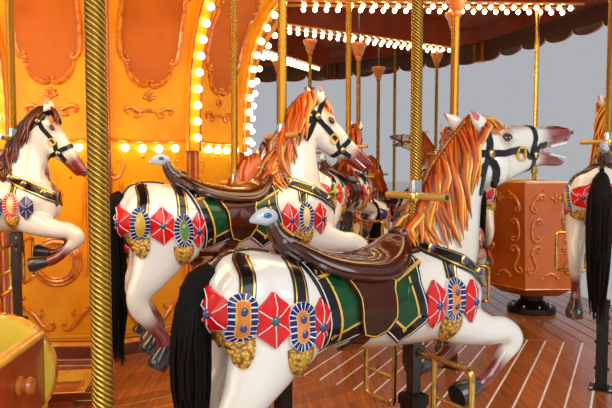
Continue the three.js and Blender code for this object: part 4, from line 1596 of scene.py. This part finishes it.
def deck_sector(strips):
    """The boards round one corner of the deck, which lies along +X, with metal strips in
    their joints if asked. Beyond their longest run the boards are cut at the rim."""
    shape = Shape()
    rng = np.random.default_rng(3)
    longest = DECK_RADIUS * FLAT**2
    x = longest + BOARD_WIDE
    while x < DECK_RADIUS:
        board(shape, x - BOARD_WIDE + BOARD_GAP, x, [rng.uniform(0.72, 1.12)] * 3)
        x += BOARD_WIDE
    board(shape, x - BOARD_WIDE + BOARD_GAP, DECK_RADIUS - CORNER_CUT, [1.0] * 3)
    x = longest
    while x - BOARD_WIDE > FIRST_BOARD:
        joint = x - BOARD_WIDE
        board(shape, joint + BOARD_GAP, x, [rng.uniform(0.72, 1.12)] * 3)
        if strips and x > FIRST_STRIP:
            half = half_run(joint) - 0.02
            a, b = joint - STRIP_LAP, joint + BOARD_GAP + STRIP_LAP
            strip = []
            for z in (DECK_TOP - 0.009, DECK_TOP + 0.001):
                strip += [(a, -half, z), (b, -half, z), (b, half, z), (a, half, z)]
            shape.add(strip, capped(2, 4), "strip_metal")
        x -= BOARD_WIDE
    return shape


def box_faces(x0, x1, y0, y1, z0, z1, ease=0.003):
    """A block with eased upright edges and top."""
    points = []
    for z, e in ((z0, 0.0), (z1 - ease, 0.0), (z1, ease)):
        for x, y, sx, sy in ((x0, y0, 1, 1), (x1, y0, -1, 1), (x1, y1, -1, -1), (x0, y1, 1, -1)):
            points.append((x + sx * e, y + sy * e, z))
    return points, capped(3, 4)


def square_ring(shape, outer, inner, z0, z1):
    """Four steel walls round a square hole."""
    for x0, x1, y0, y1 in (
        (-outer, outer, -outer, -inner),
        (-outer, outer, inner, outer),
        (-outer, -inner, -inner, inner),
        (inner, outer, -inner, inner),
    ):
        shape.add(*box_faces(x0, x1, y0, y1, z0, z1), "guide_steel")


def guide_tube():
    """A square steel guide: four walls, a top collar, a bolted foot plate and side bolts."""
    shape = Shape()
    out, wall, foot_top = 0.035, 0.0144, 0.009
    square_ring(shape, out, out - wall, 0.0, 0.579)
    square_ring(shape, out + 0.006, out, 0.535, 0.575)
    square_ring(shape, 0.07, out, 0.0005, foot_top)
    nut = [(0.0105, foot_top), (0.0105, 0.016), (0.008, 0.018)]
    for x in (-0.054, 0.054):
        for y in (-0.054, 0.054):
            shape.add(*lathe(nut, 6, centre=(x, y)), "chrome")
    for z in (0.13, 0.30, 0.46):
        for side in (-1, 1):
            bolt = rod([(side * out, 0, z), (side * (out + 0.010), 0, z)], 0.009, 6)
            shape.add(*bolt, "guide_steel")
    return shape


def horse_nodes():
    """Each horse's node, row and number round the platform."""
    for node in sorted(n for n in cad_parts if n.startswith("horse_")):
        _, row, number = node.split("_")
        yield node, row, int(number)


def set_out(turn, radius, z=0.0):
    """A place at a turn about the carousel's axis, a radius and a height."""
    return Matrix.Rotation(turn, 4, "Z") @ Matrix.Translation((radius, 0, z))


def deck():
    for strips, turn, name in ((True, STEP, "deck_boards"), (False, 0.0, "deck_boards_plain")):
        fixed(around(deck_sector(strips), SECTORS // 2, turn), name, ["deck"], 30)
    guide = guide_tube().mesh("guide_tube")
    for _, row, number in horse_nodes():
        at = set_out(number * STEP + ROW_LEAD[row], ROW_RADIUS[row], DECK_TOP)
        place(guide, f"guide_{row}_{number:02}", "turntable", at, (), 30)


# Rim poles


def rim_pole_mesh():
    """A heavy brass pole rolled with a barley twist between plain ends."""
    shape = Shape()
    z0, z1 = DECK_TOP + 0.060, CEILING - 0.001
    shape.add(*rod([(0, 0, z0), (0, 0, 2.0), (0, 0, z1)], 0.0225, 24), "rope_brass")
    foot = [(0.059, DECK_TOP + 0.0005), (0.060, DECK_TOP + 0.010), (0.052, DECK_TOP + 0.020)]
    foot += [(0.044, DECK_TOP + 0.040), (0.030, DECK_TOP + 0.052), (0.027, DECK_TOP + 0.064)]
    shape.add(*lathe(foot, 20), "brass")
    return shape.mesh("rim_pole")


def rim_poles():
    mesh = rim_pole_mesh()
    for i in range(SECTORS // 2):
        at = set_out((2 * i + 1.5) * STEP, RIM_RADIUS)
        node = f"rim_pole_{i + 1}"
        place(mesh, f"{node}_twist", "turntable", at, [node], 60)


# Canopy

CEILING_BOARD = 0.146
CEILING_STEP = 0.15


def sweep_lamps():
    """Lamps along the undersides of a sweep's two rails, and its painted edge mouldings."""
    shape = Shape()
    for y in (-0.087, 0.087):
        for x in np.arange(1.90, 4.50, 0.11):
            bulb(shape, (x, y, SWEEP_BOTTOM + 0.002), (0, 0, -1), 0.024)
        for edge in (-0.025, 0.025):
            line = [(x, y + edge, SWEEP_BOTTOM + 0.006) for x in np.linspace(1.72, 4.55, 4)]
            shape.add(*rod(line, 0.008, 6), "panel_amber")
    return shape


def ceiling_boards():
    """Tongued boards under the canopy's ceiling, between the sweeps."""
    shape = Shape()
    slope = math.tan(STEP / 2)
    x = 1.85
    while x < 4.80:
        points = []
        for z, ease in ((CEILING - 0.001, 0.0), (CEILING - 0.008, 0.004)):
            inner, outer = x + ease, x + CEILING_BOARD - ease
            for px, side in ((inner, -1), (outer, -1), (outer, 1), (inner, 1)):
                points.append((px, side * (px * slope - 0.125), z))
        shape.add(points, [f[::-1] for f in capped(2, 4)], "ceiling_paint")
        x += CEILING_STEP
    return shape


def canopy():
    fixed(around(sweep_lamps(), SECTORS), "sweep_lamps", share=0.32)
    fixed(around(ceiling_boards(), SECTORS, STEP / 2), "ceiling_boards", (), 30)


# Rounding boards and roof

BOARD_FACE = 5.1555 * FLAT
BOARD_HALF = 1.334
SCALLOP_Z = 3.230
BOARD_MIDDLE_Z = 3.60
SHOULDER_Z = 3.90


def on_board(u, z, out=0.0):
    return (BOARD_FACE + out, u, z)


def board_outline():
    """Half-round scallops below, a shouldered arch above; anticlockwise seen from outside."""
    scallops = 6
    pitch = 2 * BOARD_HALF / scallops
    line = []
    for i in range(scallops):
        for t in np.linspace(0, math.pi, 9)[:-1]:
            u = -BOARD_HALF + (i + 0.5 - 0.5 * math.cos(t)) * pitch
            line.append((u, SCALLOP_Z - 0.100 * math.sin(t) ** 0.8))
    line += [(BOARD_HALF, z) for z in (SCALLOP_Z, BOARD_MIDDLE_Z, SHOULDER_Z)]
    arch = [(BOARD_HALF, SHOULDER_Z), (1.20, 3.93), (0.98, 3.93), (0.80, 4.02), (0.45, 4.085), (0.0, 4.0995)]
    arch = spline(arch, 16)
    line += [tuple(p) for p in arch[1:]]
    line += mirrored(arch[-2::-1], -1)
    line.append((-BOARD_HALF, BOARD_MIDDLE_Z))
    return line


def slab(shape, outline, at, thick, face, back, edge, ease=0.006):
    """A board from an outline: front, back and eased edges in their own finishes."""
    count = len(outline)
    ring = np.asarray(outline, float)
    small = inset(ring, ease)
    points = []
    for row, out in ((small, 0.0), (ring, -ease), (ring, ease - thick), (small, -thick)):
        points += [at(u, v, out) for u, v in row]
    faces = [f[::-1] for f in grid_faces(4, count)]
    names = [edge] * len(faces)
    faces += [list(range(count)), [3 * count + k for k in range(count)][::-1]]
    names += [face, back]
    shape.add(points, faces, names)


def rounding_board():
    """One crest board: scalloped foot, lamps, a framed panel, scrolls and a shell on top."""
    shape = Shape()
    slab(shape, board_outline(), on_board, 0.034, "board_red", "board_dark", "carving_gilt")
    rim = [(1.22, 3.36), (1.22, 3.80), (0.95, 3.83), (0.70, 3.92), (0.35, 3.965)]
    rim = [(-1.22, 3.36), *rim, (0.0, 3.975), *mirrored(rim[:0:-1], -1)]
    loop = [on_board(u, v, 0.006) for u, v in even_ring(rim, 90)]
    shape.add(*rod(loop + loop[:1], 0.022, 8), "carving_gilt")
    centre = 3.66
    panel = even_ring([(0.93 * u, centre + 0.88 * (v - centre)) for u, v in rim], 60)
    face_patch(shape, on_board, panel, 0.008, "panel_yellow", 3)
    shell_fan(shape, on_board, (0.0, 3.60), 0.20, "carving_gilt", 7)
    for side in (-1, 1):
        scroll(shape, on_board, S_SCROLL, (side * 0.46, 3.64), 0.17, side * 1.35, 0.020, "panel_rust", -side)
        scroll(shape, on_board, C_SCROLL, (side * 0.92, 3.62), 0.13, side * 0.9, 0.018, "carving_gilt", -side)
    for u in np.linspace(-1.0, 1.0, 10):
        bulb(shape, on_board(u, 3.285, 0.002), (1, 0, 0), 0.028)
    return shape


def corner_post():
    """A gilt post that covers the joint of two crest boards."""
    shape = Shape()
    section = [(-0.07, -0.10), (-0.07, 0.0), (-0.04, 0.012)]
    finishes = ["carving_gilt", "carving_gilt", "board_red"]
    symmetric_sweep(shape, [(5.143, z) for z in (3.14, 3.5, 3.96)], section, finishes)
    return shape


EAVES_R, EAVES_Z = 5.09, 3.700
CROWN_R, ROOF_RISE = 0.31, 1.452


def roof_radius(t):
    return EAVES_R * (1 - t) + CROWN_R * t


def roof_height(t, a):
    """Height of the canvas a share t of the way up, at an angle a from the rib before it."""
    between = math.sin(math.pi * a / STEP) ** 2
    sag = 0.045 * math.sin(math.pi * t) ** 1.2
    sag += 0.055 * between * math.sin(math.pi * min(t * 1.15, 1.0)) ** 0.8
    return EAVES_Z + ROOF_RISE * t - sag


def roof_canvas():
    """One continuous sheet over twelve ribs, sagging between them, in alternate colours."""
    shape = Shape()
    rows, gore = 34, 10
    columns = SECTORS * gore
    points = []
    for r in range(rows):
        t = r / (rows - 1)
        for c in range(columns):
            a = (c % gore) / gore * STEP
            flat = FLAT / math.cos(a - STEP / 2)
            radius = roof_radius(t) * (flat * (1 - t) + t)
            angle = c * STEP / gore
            points.append((radius * math.cos(angle), radius * math.sin(angle), roof_height(t, a)))
    pair = ["canvas_red"] * gore + ["canvas_cream"] * gore
    shape.add(points, grid_faces(rows, columns), pair * (SECTORS // 2 * (rows - 1)))
    obj = fixed(shape, "roof_canvas", ["roof"], 0)


def roof_seams():
    """Bound seams over the ribs and a hem board at the eaves."""
    shape = Shape()
    line = [(roof_radius(t), 0.0, roof_height(t, 0.0) + 0.004) for t in np.linspace(0, 1, 20)]
    shape.add(*rod(line, 0.016, 6, 0.5), "carving_gilt")
    hem_r = EAVES_R - 0.005
    hem = [(hem_r, 0.0, EAVES_Z), (hem_r * math.cos(STEP), hem_r * math.sin(STEP), EAVES_Z)]
    shape.add(*rod(hem, 0.022, 6), "board_red")
    return shape


# The finial: radius and height above its foot, for the vase and for one of its leaves.
FINIAL_Z = 5.1505
VASE = [(0.318, 0.0), (0.320, 0.03), (0.318, 0.06), (0.27, 0.075), (0.205, 0.11), (0.195, 0.17)]
VASE += [(0.215, 0.25), (0.228, 0.30), (0.20, 0.34), (0.12, 0.375), (0.062, 0.42), (0.07, 0.45)]
VASE += [(0.105, 0.50), (0.118, 0.54), (0.10, 0.585), (0.05, 0.64), (0.03, 0.72), (0.014, 0.819)]
LEAF = [(0.205, 0.12), (0.223, 0.19), (0.250, 0.27), (0.290, 0.31)]


def finial():
    """A turned vase with eight leaves round its foot."""
    shape = Shape()
    shape.add(*lathe([(r, FINIAL_Z + h) for r, h in VASE], 32), "gilt_leaf")
    for a in ring_angles(8):
        leaf = [(r * math.cos(a), r * math.sin(a), FINIAL_Z + h) for r, h in LEAF]
        shape.add(*rod(leaf, [0.03, 0.045, 0.035, 0.012], 8, 0.5), "gilt_leaf")
    return shape


def roof():
    roof_canvas()
    fixed(around(roof_seams(), SECTORS), "roof_seams")
    boards = around(rounding_board(), SECTORS, STEP / 2)
    fixed(boards, "crest_boards", ["rounding_boards"], share=0.42)
    fixed(around(corner_post(), SECTORS), "crest_posts")
    fixed(finial(), "finial_leaf", ["finial"])


# Tubs

TUB_RADIUS = 4.15
TUB_BASE = DECK_TOP + 0.20
TUB_FOOT = 0.09
TUB_HIGH = 1.08
TUB_NODES = (0, 4, 8)
# Radii of the tub's six corners under its foot and above it, and how much each part widens.
TUB_UNDER_R, TUB_FOOT_R = 0.300, 0.450
FOOT_FLARE, SIDE_FLARE = 0.150, 0.135
SIDE_LEAN = 0.118
TUB_LINE = 0.0125


def tub_corner(v):
    """Radius of the tub's corners at a height."""
    if v < TUB_FOOT:
        return TUB_UNDER_R + FOOT_FLARE * v / TUB_FOOT
    return TUB_FOOT_R + SIDE_FLARE * (v - TUB_FOOT) / (TUB_HIGH - TUB_FOOT)


def on_tub(u, v, out=0.0):
    """A point on the tub face that looks along +X, in the tub's own frame."""
    return (tub_corner(v) * math.cos(math.pi / 6) + out, u, v - SIDE_LEAN * out)


def tub_face(entry):
    """Scrolls, shell and swag of one side; the entry side keeps only its lower half."""
    shape = Shape()
    gold = "tub_carving"
    for side in (-1, 1):
        scroll(shape, on_tub, S_SCROLL, (side * 0.155, 0.37), 0.125, -side * 0.12, TUB_LINE, gold, side)
        if not entry:
            scroll(shape, on_tub, C_SCROLL, (side * 0.175, 0.645), 0.105, 0.0, TUB_LINE, gold, -side)
            scroll(shape, on_tub, C_SCROLL, (side * 0.180, 0.905), 0.085, side * 0.5, TUB_LINE, gold, -side)
            leaf = [(side * 0.165, 0.93), (side * 0.135, 0.965), (side * 0.110, 1.0)]
            carving(shape, on_tub, leaf, 0.011, gold, 8)
    swag = [(-0.075, 0.195), (-0.050, 0.225), (0.0, 0.245), (0.050, 0.225), (0.075, 0.195)]
    carving(shape, on_tub, swag, TUB_LINE, gold, 14)
    if not entry:
        shell_fan(shape, on_tub, (0.0, 0.915), 0.075, gold, 3, 0.9)
    return shape


def tub_trim():
    """Carving of the six sides, the rim over all but the entry, and beads on the edges."""
    trim = Shape()
    for i in range(6):
        turn = math.pi / 6 + i * math.pi / 3
        face = tub_face(i == 0)
        if i:
            rim = [on_tub(u, TUB_HIGH + 0.004, -0.012) for u in (-0.292, 0.0, 0.292)]
            face.add(*rod(rim, 0.015, 8), "tub_rim")
        low = [on_tub(u, TUB_FOOT, 0.0) for u in (-0.224, 0.0, 0.224)]
        face.add(*rod(low, 0.009, 8), "tub_carving")
        corner = [on_tub(tub_corner(v) * 0.5, v) for v in (TUB_FOOT, 0.5, TUB_HIGH)]
        face.add(*rod(corner, 0.007, 8), "tub_paint")
        trim.add(turn_z(np.concatenate(face.points), turn), face.faces, list(face.finishes))
    return trim


def tub_stand():
    """The bolted foot and the brass post with its two collars."""
    shape = Shape()
    foot = [(0.228, 0.0005), (0.230, 0.012), (0.226, 0.058), (0.15, 0.085), (0.109, 0.12), (0.109, 0.195)]
    shape.add(*lathe(foot, 32), "guide_steel")
    nut = [(0.014, 0.07), (0.014, 0.084), (0.010, 0.087)]
    for a in ring_angles(8):
        shape.add(*lathe(nut, 6, centre=(0.185 * math.cos(a), 0.185 * math.sin(a))), "chrome")
    shape.add(*lathe([(0.0218, 0.19), (0.0218, 3.299)], 20), "brass")
    for z in (1.36, 3.22):
        collar = [(0.022, z), (0.034, z + 0.006), (0.034, z + 0.040), (0.022, z + 0.046)]
        shape.add(*lathe(collar, 20), "brass")
    return shape


def tubs():
    trim = thinned(tub_trim().mesh("tub_trim"), 0.5)
    stand = tub_stand().mesh("tub_foot")
    for k in TUB_NODES:
        at = set_out(k * STEP, TUB_RADIUS, TUB_BASE)
        place(trim, f"tub_{k}_carving", f"tub_{k}", at)
        at = set_out(k * STEP, TUB_RADIUS, DECK_TOP)
        place(stand, f"tub_{k}_pole", "turntable", at, [f"tub_{k}_post"])


# Chariots

CHARIOT_RADIUS = 3.86
CHARIOT_HALF = 0.52
CHARIOT_NODES = (3, 6, 9)
SIDE_THICK = 0.06
DISC_X, DISC_Z, DISC_R = 0.440, 0.560, 0.250


def chariot_outline():
    """Side board: a scroll disc in front, a dipped arm rest and a high back."""
    disc = []
    for a in np.linspace(-1.3, 2.25, 26):
        disc.append((DISC_X + DISC_R * math.cos(a), DISC_Z + DISC_R * math.sin(a)))
    arm = [(0.283, 0.754), (0.20, 0.62), (0.05, 0.485), (-0.30, 0.620), (-0.42, 0.80), (-0.52, 0.975)]
    arm = spline(arm, 20)
    back = spline([(-0.58, 0.995), (-0.695, 1.0), (-0.715, 0.70), (-0.62, 0.30), (-0.562, 0.003)], 16)
    return [(-0.20, 0.003), (0.18, 0.003), (0.420, 0.003), *disc, *map(tuple, arm[1:]), *map(tuple, back)]


def upright(y, way=-1):
    """Puts points of a chariot's side, u forwards and v up, at y; way says where out leads."""
    return lambda u, v, out=0.0: (u, y + way * out, v)


FLOOR_BOARDS = 10


def plank(shape, x0, x1, y0, y1, z0, z1, finish, ease=0.006):
    """A board with all its edges eased."""
    points = []
    for z, e in ((z0, ease), (z0 + ease, 0), (z1 - ease, 0), (z1, ease)):
        points += [(x0 + e, y0 + e, z), (x1 - e, y0 + e, z), (x1 - e, y1 - e, z), (x0 + e, y1 - e, z)]
    shape.add(points, capped(4, 4), finish)


def chariot_shell():
    """Two carved side boards, a boarded floor, a foot board and a front board with knobs."""
    shape = Shape()
    inner = CHARIOT_HALF - SIDE_THICK / 2
    yellow = "chariot_yellow"
    for y in (-CHARIOT_HALF - SIDE_THICK / 2, inner):
        slab(shape, chariot_outline(), upright(y), SIDE_THICK, yellow, yellow, "chariot_gold", 0.007)
    wide = 2 * inner / FLOOR_BOARDS
    for i in range(FLOOR_BOARDS):
        y0 = -inner + i * wide
        plank(shape, -0.56, 0.42, y0 + 0.001, y0 + wide - 0.001, 0.0, 0.12, "deck_wood", 0.003)
    plank(shape, 0.33, 0.38, -inner, inner, 0.12, 0.48, "chariot_red")
    plank(shape, 0.60, 0.65, -inner, inner, 0.395, 0.722, "chariot_red")
    rails = ((0.609, 0.724, 0.015), (0.641, 0.724, 0.015), (0.652, 0.418, 0.010), (0.355, 0.482, 0.018))
    for x, z, r in rails:
        shape.add(*rod([(x, y, z) for y in (-inner, 0.0, inner)], r, 10), "chariot_gold")
    knob = [(0.650, 0.036), (0.656, 0.038), (0.662, 0.026), (0.676, 0.026), (0.690, 0.034)]
    knob += [(0.703, 0.030), (0.711, 0.012)]
    for y in (-0.22, 0.22):
        shape.add(*rod([(x, y, 0.600) for x, _ in knob], [r for _, r in knob], 16), "cup_orange")
    loop = [tuple(p) for p in inset(even_ring(chariot_outline(), 120), 0.040)]
    spiral = []
    full = 4.2 * math.pi
    for a in np.linspace(0, full, 60):
        r = 0.035 + 0.165 * a / full
        spiral.append((DISC_X + r * math.cos(a + 0.6), DISC_Z + r * math.sin(a + 0.6)))
    for side in (-1, 1):
        at = upright(side * (CHARIOT_HALF + SIDE_THICK / 2 + 0.001), side)
        shape.add(*rod([at(*p) for p in loop + loop[:1]], 0.007, 8), "chariot_gold")
        shape.add(*rod([at(*p) for p in spiral], 0.010, 8), "panel_rust")
        scroll(shape, at, S_SCROLL, (-0.05, 0.30), 0.20, -0.9, 0.016, "panel_rust", 1)
        scroll(shape, at, C_SCROLL, (-0.48, 0.55), 0.20, 0.1, 0.016, "panel_rust", 1)
        shell_fan(shape, at, (-0.33, 0.22), 0.11, "chariot_gold")
    return shape


def chariot_seat():
    """A slatted bench with a raked slatted back and turned edges."""
    shape = Shape()
    wide = CHARIOT_HALF - 0.0305
    plank(shape, -0.52, -0.135, -wide, wide, 0.1205, 0.425, "chariot_red")
    for i in range(5):
        x0 = -0.535 + i * 0.083
        plank(shape, x0, x0 + 0.078, -wide, wide, 0.425, 0.449, "seat_wood", 0.005)
    plank(shape, -0.60, -0.575, -wide, wide, 0.372, 0.88, "chariot_red")
    for i in range(5):
        z0 = 0.465 + i * 0.084
        plank(shape, -0.575, -0.545, -wide, wide, z0, z0 + 0.078, "seat_wood", 0.005)
    shape.add(*rod([(-0.572, y, 0.886) for y in (-wide, 0.0, wide)], 0.022, 10), "chariot_gold")
    return shape


def chariots():
    shell = thinned(chariot_shell().mesh("chariot_shell"), 0.6)
    seat = chariot_seat().mesh("chariot_seat")
    for k in CHARIOT_NODES:
        at = set_out(k * STEP, CHARIOT_RADIUS, DECK_TOP + 0.0003) @ Matrix.Rotation(math.pi / 2, 4, "Z")
        place(shell, f"chariot_{k}_boards", "turntable", at, [f"chariot_{k}_shell"])
        place(seat, f"chariot_{k}_bench", "turntable", at, [f"chariot_{k}_seat"])


# Step tray

TRAY_RADIUS = 2.15
TRAY_ANGLE = math.radians(-84.7)


def step_tray():
    """A low mounting tray by the inner row: red-brown floor in a flared yellow rim."""
    shape = Shape()
    rows = [(0.150, 0.200, 0.0), (0.150, 0.200, 0.02), (0.205, 0.270, 0.090), (0.212, 0.278, 0.094)]
    rows += [(0.208, 0.274, 0.100), (0.150, 0.200, 0.040)]
    points = []
    for half_x, half_y, z in rows:
        points += [(-half_x, -half_y, z), (half_x, -half_y, z), (half_x, half_y, z), (-half_x, half_y, z)]
    faces = grid_faces(len(rows), 4)
    names = ["panel_rust"] * 12 + ["chariot_gold"] * 8
    faces += [[3, 2, 1, 0], [20, 21, 22, 23]]
    names += ["panel_rust", "chariot_red"]
    shape.add(points, faces, names)
    loop = [(0.150, 0.200), (-0.150, 0.200), (-0.150, -0.200), (0.150, -0.200), (0.150, 0.200)]
    shape.add(*rod([(x, y, 0.046) for x, y in loop], 0.008, 6), "chariot_gold")
    return shape


def tray():
    """The one mounting tray in sight, beside the nearest inner horse."""
    at = set_out(TRAY_ANGLE, TRAY_RADIUS, DECK_TOP + 0.0005)
    place(step_tray().mesh("step_tray"), "step_tray", "turntable", at, (), 30)


# Everything that keeps its CAD shape gets a worked finish

CAD_FINISHES = {
    "base_frame": "frame_steel",
    "slew_ring": "frame_steel",
    "centre_mast": "frame_steel",
    "deck_frame": "frame_steel",
    "deck_skirt": "board_red",
    "canopy": "ceiling_paint",
    **{f"tub_{k}_shell": "tub_paint" for k in TUB_NODES},
}


def finish_cad():
    for node, finish in CAD_FINISHES.items():
        for slot in bpy.data.objects[node].material_slots:
            slot.material = material(finish)


# Deck skirt


def skirt_trim():
    """Mouldings and studs along the deck's edge."""
    shape = Shape()
    face = DECK_RADIUS * FLAT + 0.001
    half = DECK_RADIUS * math.sin(STEP / 2) - 0.008
    for z in (0.105, 0.243):
        shape.add(*rod([(face - 0.004, u, z) for u in (-half, 0.0, half)], 0.010, 8), "carving_gilt")
    for u in np.linspace(-half + 0.08, half - 0.08, 17):
        shape.add(*ball((face, u, 0.174), 0.018, 5, 10, (0.5, 1, 1)), "carving_gilt")
    return shape


def skirt():
    fixed(around(skirt_trim(), SECTORS, STEP / 2), "skirt_trim", share=0.5)


# Horses in their rows

POSES = {"outer": "lifted", "middle": "bowed", "inner": "tucked"}
ROW_TILT = {"outer": 0.0, "middle": math.radians(2.5), "inner": 0.0}
ROW_DROP = {"outer": 0.0, "middle": 0.035, "inner": 0.0}
# Horses close to the camera, made in full detail.
FINE_HORSES = {"horse_outer_10", "horse_outer_11", "horse_middle_10", "horse_inner_09"}
COARSE_TRIM_SHARE = 0.28


@cache
def figure(pose, fine):
    """A horse's body with its face and hooves, and its skin for laying trappings on."""
    body = body_mesh(pose, fine)
    points = np.array([v.co for v in body.vertices])
    shape = Shape()
    shape.add(points, [list(p.vertices) for p in body.polygons], "horse_paint", skin_paint(points, pose))
    hooves(shape)
    face_details(shape, pose)
    return shape.mesh(f"figure_{pose}_{fine}"), Skin(body)


@cache
def trappings(pose, oval_centre, fine):
    shape = Shape()
    skin = figure(pose, fine)[1]
    body_trappings(shape, skin, oval_centre, fine)
    bridle(shape, skin, pose)
    saddle_seat(shape)
    bird_cantle(shape)
    mesh = shape.mesh(f"trappings_{pose}")
    return mesh if fine else thinned(mesh, COARSE_TRIM_SHARE)


@cache
def horse_hair(pose, palette, fine):
    shape = Shape()
    mane(shape, figure(pose, fine)[1], pose, palette, fine)
    tail(shape, fine)
    return shape.mesh(f"hair_{pose}")


# What each paint scheme changes in the first one.
SCHEMES = {
    "green": {},
    "purple": {
        "trim_red": "trim_purple",
        "trim_blue": "trim_red",
        "blanket": "blanket_blue",
        "medal_centre": "trim_cream",
    },
    "amber": {"trim_blue": "trim_green", "blanket": "blanket_red"},
}


def scheme_name(row, k):
    """Paint schemes by row and number: those in the photograph, spread over the ride."""
    if row == "outer" or (row == "middle" and k % 2 == 0):
        return "green"
    return "purple" if row == "inner" and k % 3 == 0 else "amber"


def recoloured(mesh, scheme):
    """A copy of a mesh painted to another scheme."""
    copy = mesh.copy()
    for i, old in enumerate(copy.materials):
        if old.name in SCHEMES[scheme]:
            copy.materials[i] = material(SCHEMES[scheme][old.name])
    return copy


def seat_matrix(row, k, z, size=1.0, tilt=0.0):
    """Where a horse hangs on its pole, drawn at a size and a nose-up tilt about its scaling height."""
    at = set_out(k * STEP + ROW_LEAD[row], ROW_RADIUS[row], z + SCALE_CENTRE_Z)
    pose = Matrix.Rotation(-tilt, 4, "Y") @ Matrix.Scale(size, 4)
    face = Matrix.Rotation(math.pi / 2, 4, "Z")
    return at @ face @ pose @ Matrix.Translation((0, 0, -SCALE_CENTRE_Z))


def horses():
    """Every horse at rest: neighbours in a row and across the rows stand at opposite ends."""
    rows = list(ROW_RADIUS)
    for node, row, k in horse_nodes():
        pose = POSES[row]
        fine = node in FINE_HORSES
        oval_centre = row != "outer" or k % 2 == 1
        palette = "dark" if row == "inner" and k % 3 == 0 else "orange"
        low = (k + rows.index(row)) % 2 == 0
        z = DECK_TOP + (0 if low else TRAVEL)
        at = seat_matrix(row, k, z - ROW_DROP[row], ROW_SCALE[row], ROW_TILT[row])
        scheme = scheme_name(row, k)
        body = recoloured(figure(pose, fine)[0], scheme)
        trim = recoloured(trappings(pose, oval_centre, fine), scheme)
        place(body, f"{node}_figure", node, at, [node], 50)
        place(trim, f"{node}_trappings", node, at)
        place(horse_hair(pose, palette, fine), f"{node}_hair", node, at, (), 60)
        place(pole_mesh(row), f"{node}_pole", node, seat_matrix(row, k, z))


# Camera and light

SENSOR = 36.0
# Focal length and width of the photograph in pixels, from a fit to the drum and the poles.
FOCAL_PIXELS, PHOTO_PIXELS = 630, 612
EYE_POINT = (1.632, -6.042, 1.74)
HEADING = (0.0476, 0.9989)
PITCH = math.radians(3.54)
FLOOR_HALF = 60
FLOOR_Z = -0.002


def camera():
    data = bpy.data.cameras.new("camera")
    data.sensor_width = SENSOR
    data.lens = SENSOR * FOCAL_PIXELS / PHOTO_PIXELS
    obj = linked("camera", data)
    ahead = Vector((HEADING[0] * math.cos(PITCH), HEADING[1] * math.cos(PITCH), -math.sin(PITCH)))
    obj.matrix_world = Matrix.Translation(EYE_POINT) @ ahead.to_track_quat("-Z", "Y").to_matrix().to_4x4()
    bpy.context.scene.camera = obj


def area_light(name, source, target, size, power, colour):
    """A rectangular light aimed at a point and hidden from the camera."""
    data = bpy.data.lights.new(name, "AREA")
    data.shape = "RECTANGLE"
    data.size, data.size_y = size
    data.energy = power
    data.color = colour
    obj = linked(name, data)
    obj.location = source
    aim = Vector(target) - Vector(source)
    obj.rotation_euler = aim.to_track_quat("-Z", "Y").to_euler()
    obj.visible_camera = False


def studio():
    """Pale floor, pale surroundings and large soft lights."""
    floor = Shape()
    corners = [(-1, -1), (1, -1), (1, 1), (-1, 1)]
    floor.add([(FLOOR_HALF * x, FLOOR_HALF * y, FLOOR_Z) for x, y in corners], [[0, 1, 2, 3]], "pale_floor")
    obj = linked("floor", floor.mesh("floor"))
    world = bpy.data.worlds.new("world")
    bpy.context.scene.world = world
    world.use_nodes = True
    world.node_tree.nodes["Background"].inputs["Color"].default_value = (0.93, 0.95, 1.0, 1)
    world.node_tree.nodes["Background"].inputs["Strength"].default_value = 0.46
    area_light("key", (10.5, -18.2, 11.7), (0.5, -2, 1.2), (20, 12), 2900, (1, 0.97, 0.93))
    area_light("fill", (-14.2, -17.0, 6.8), (-0.5, -2, 1.2), (20, 12), 1600, (1, 0.93, 0.84))


def glow():
    """Soft warm light under the canopy, as from its many lamps."""
    area_light("glow_left", (-1.2, -3.6, 3.1), (-0.8, -1.2, 1.9), (3, 1.5), 90, (1, 0.66, 0.30))
    area_light("glow_right", (2.6, -2.6, 3.1), (0.6, -0.6, 1.6), (3, 1.5), 60, (1, 0.70, 0.36))


bpy.context.scene.view_settings.view_transform = "Standard"
for build in (camera, studio, glow, finish_cad, drum, deck, skirt, tray):
    build()
for build in (rim_poles, canopy, roof, tubs, chariots, horses):
    build()
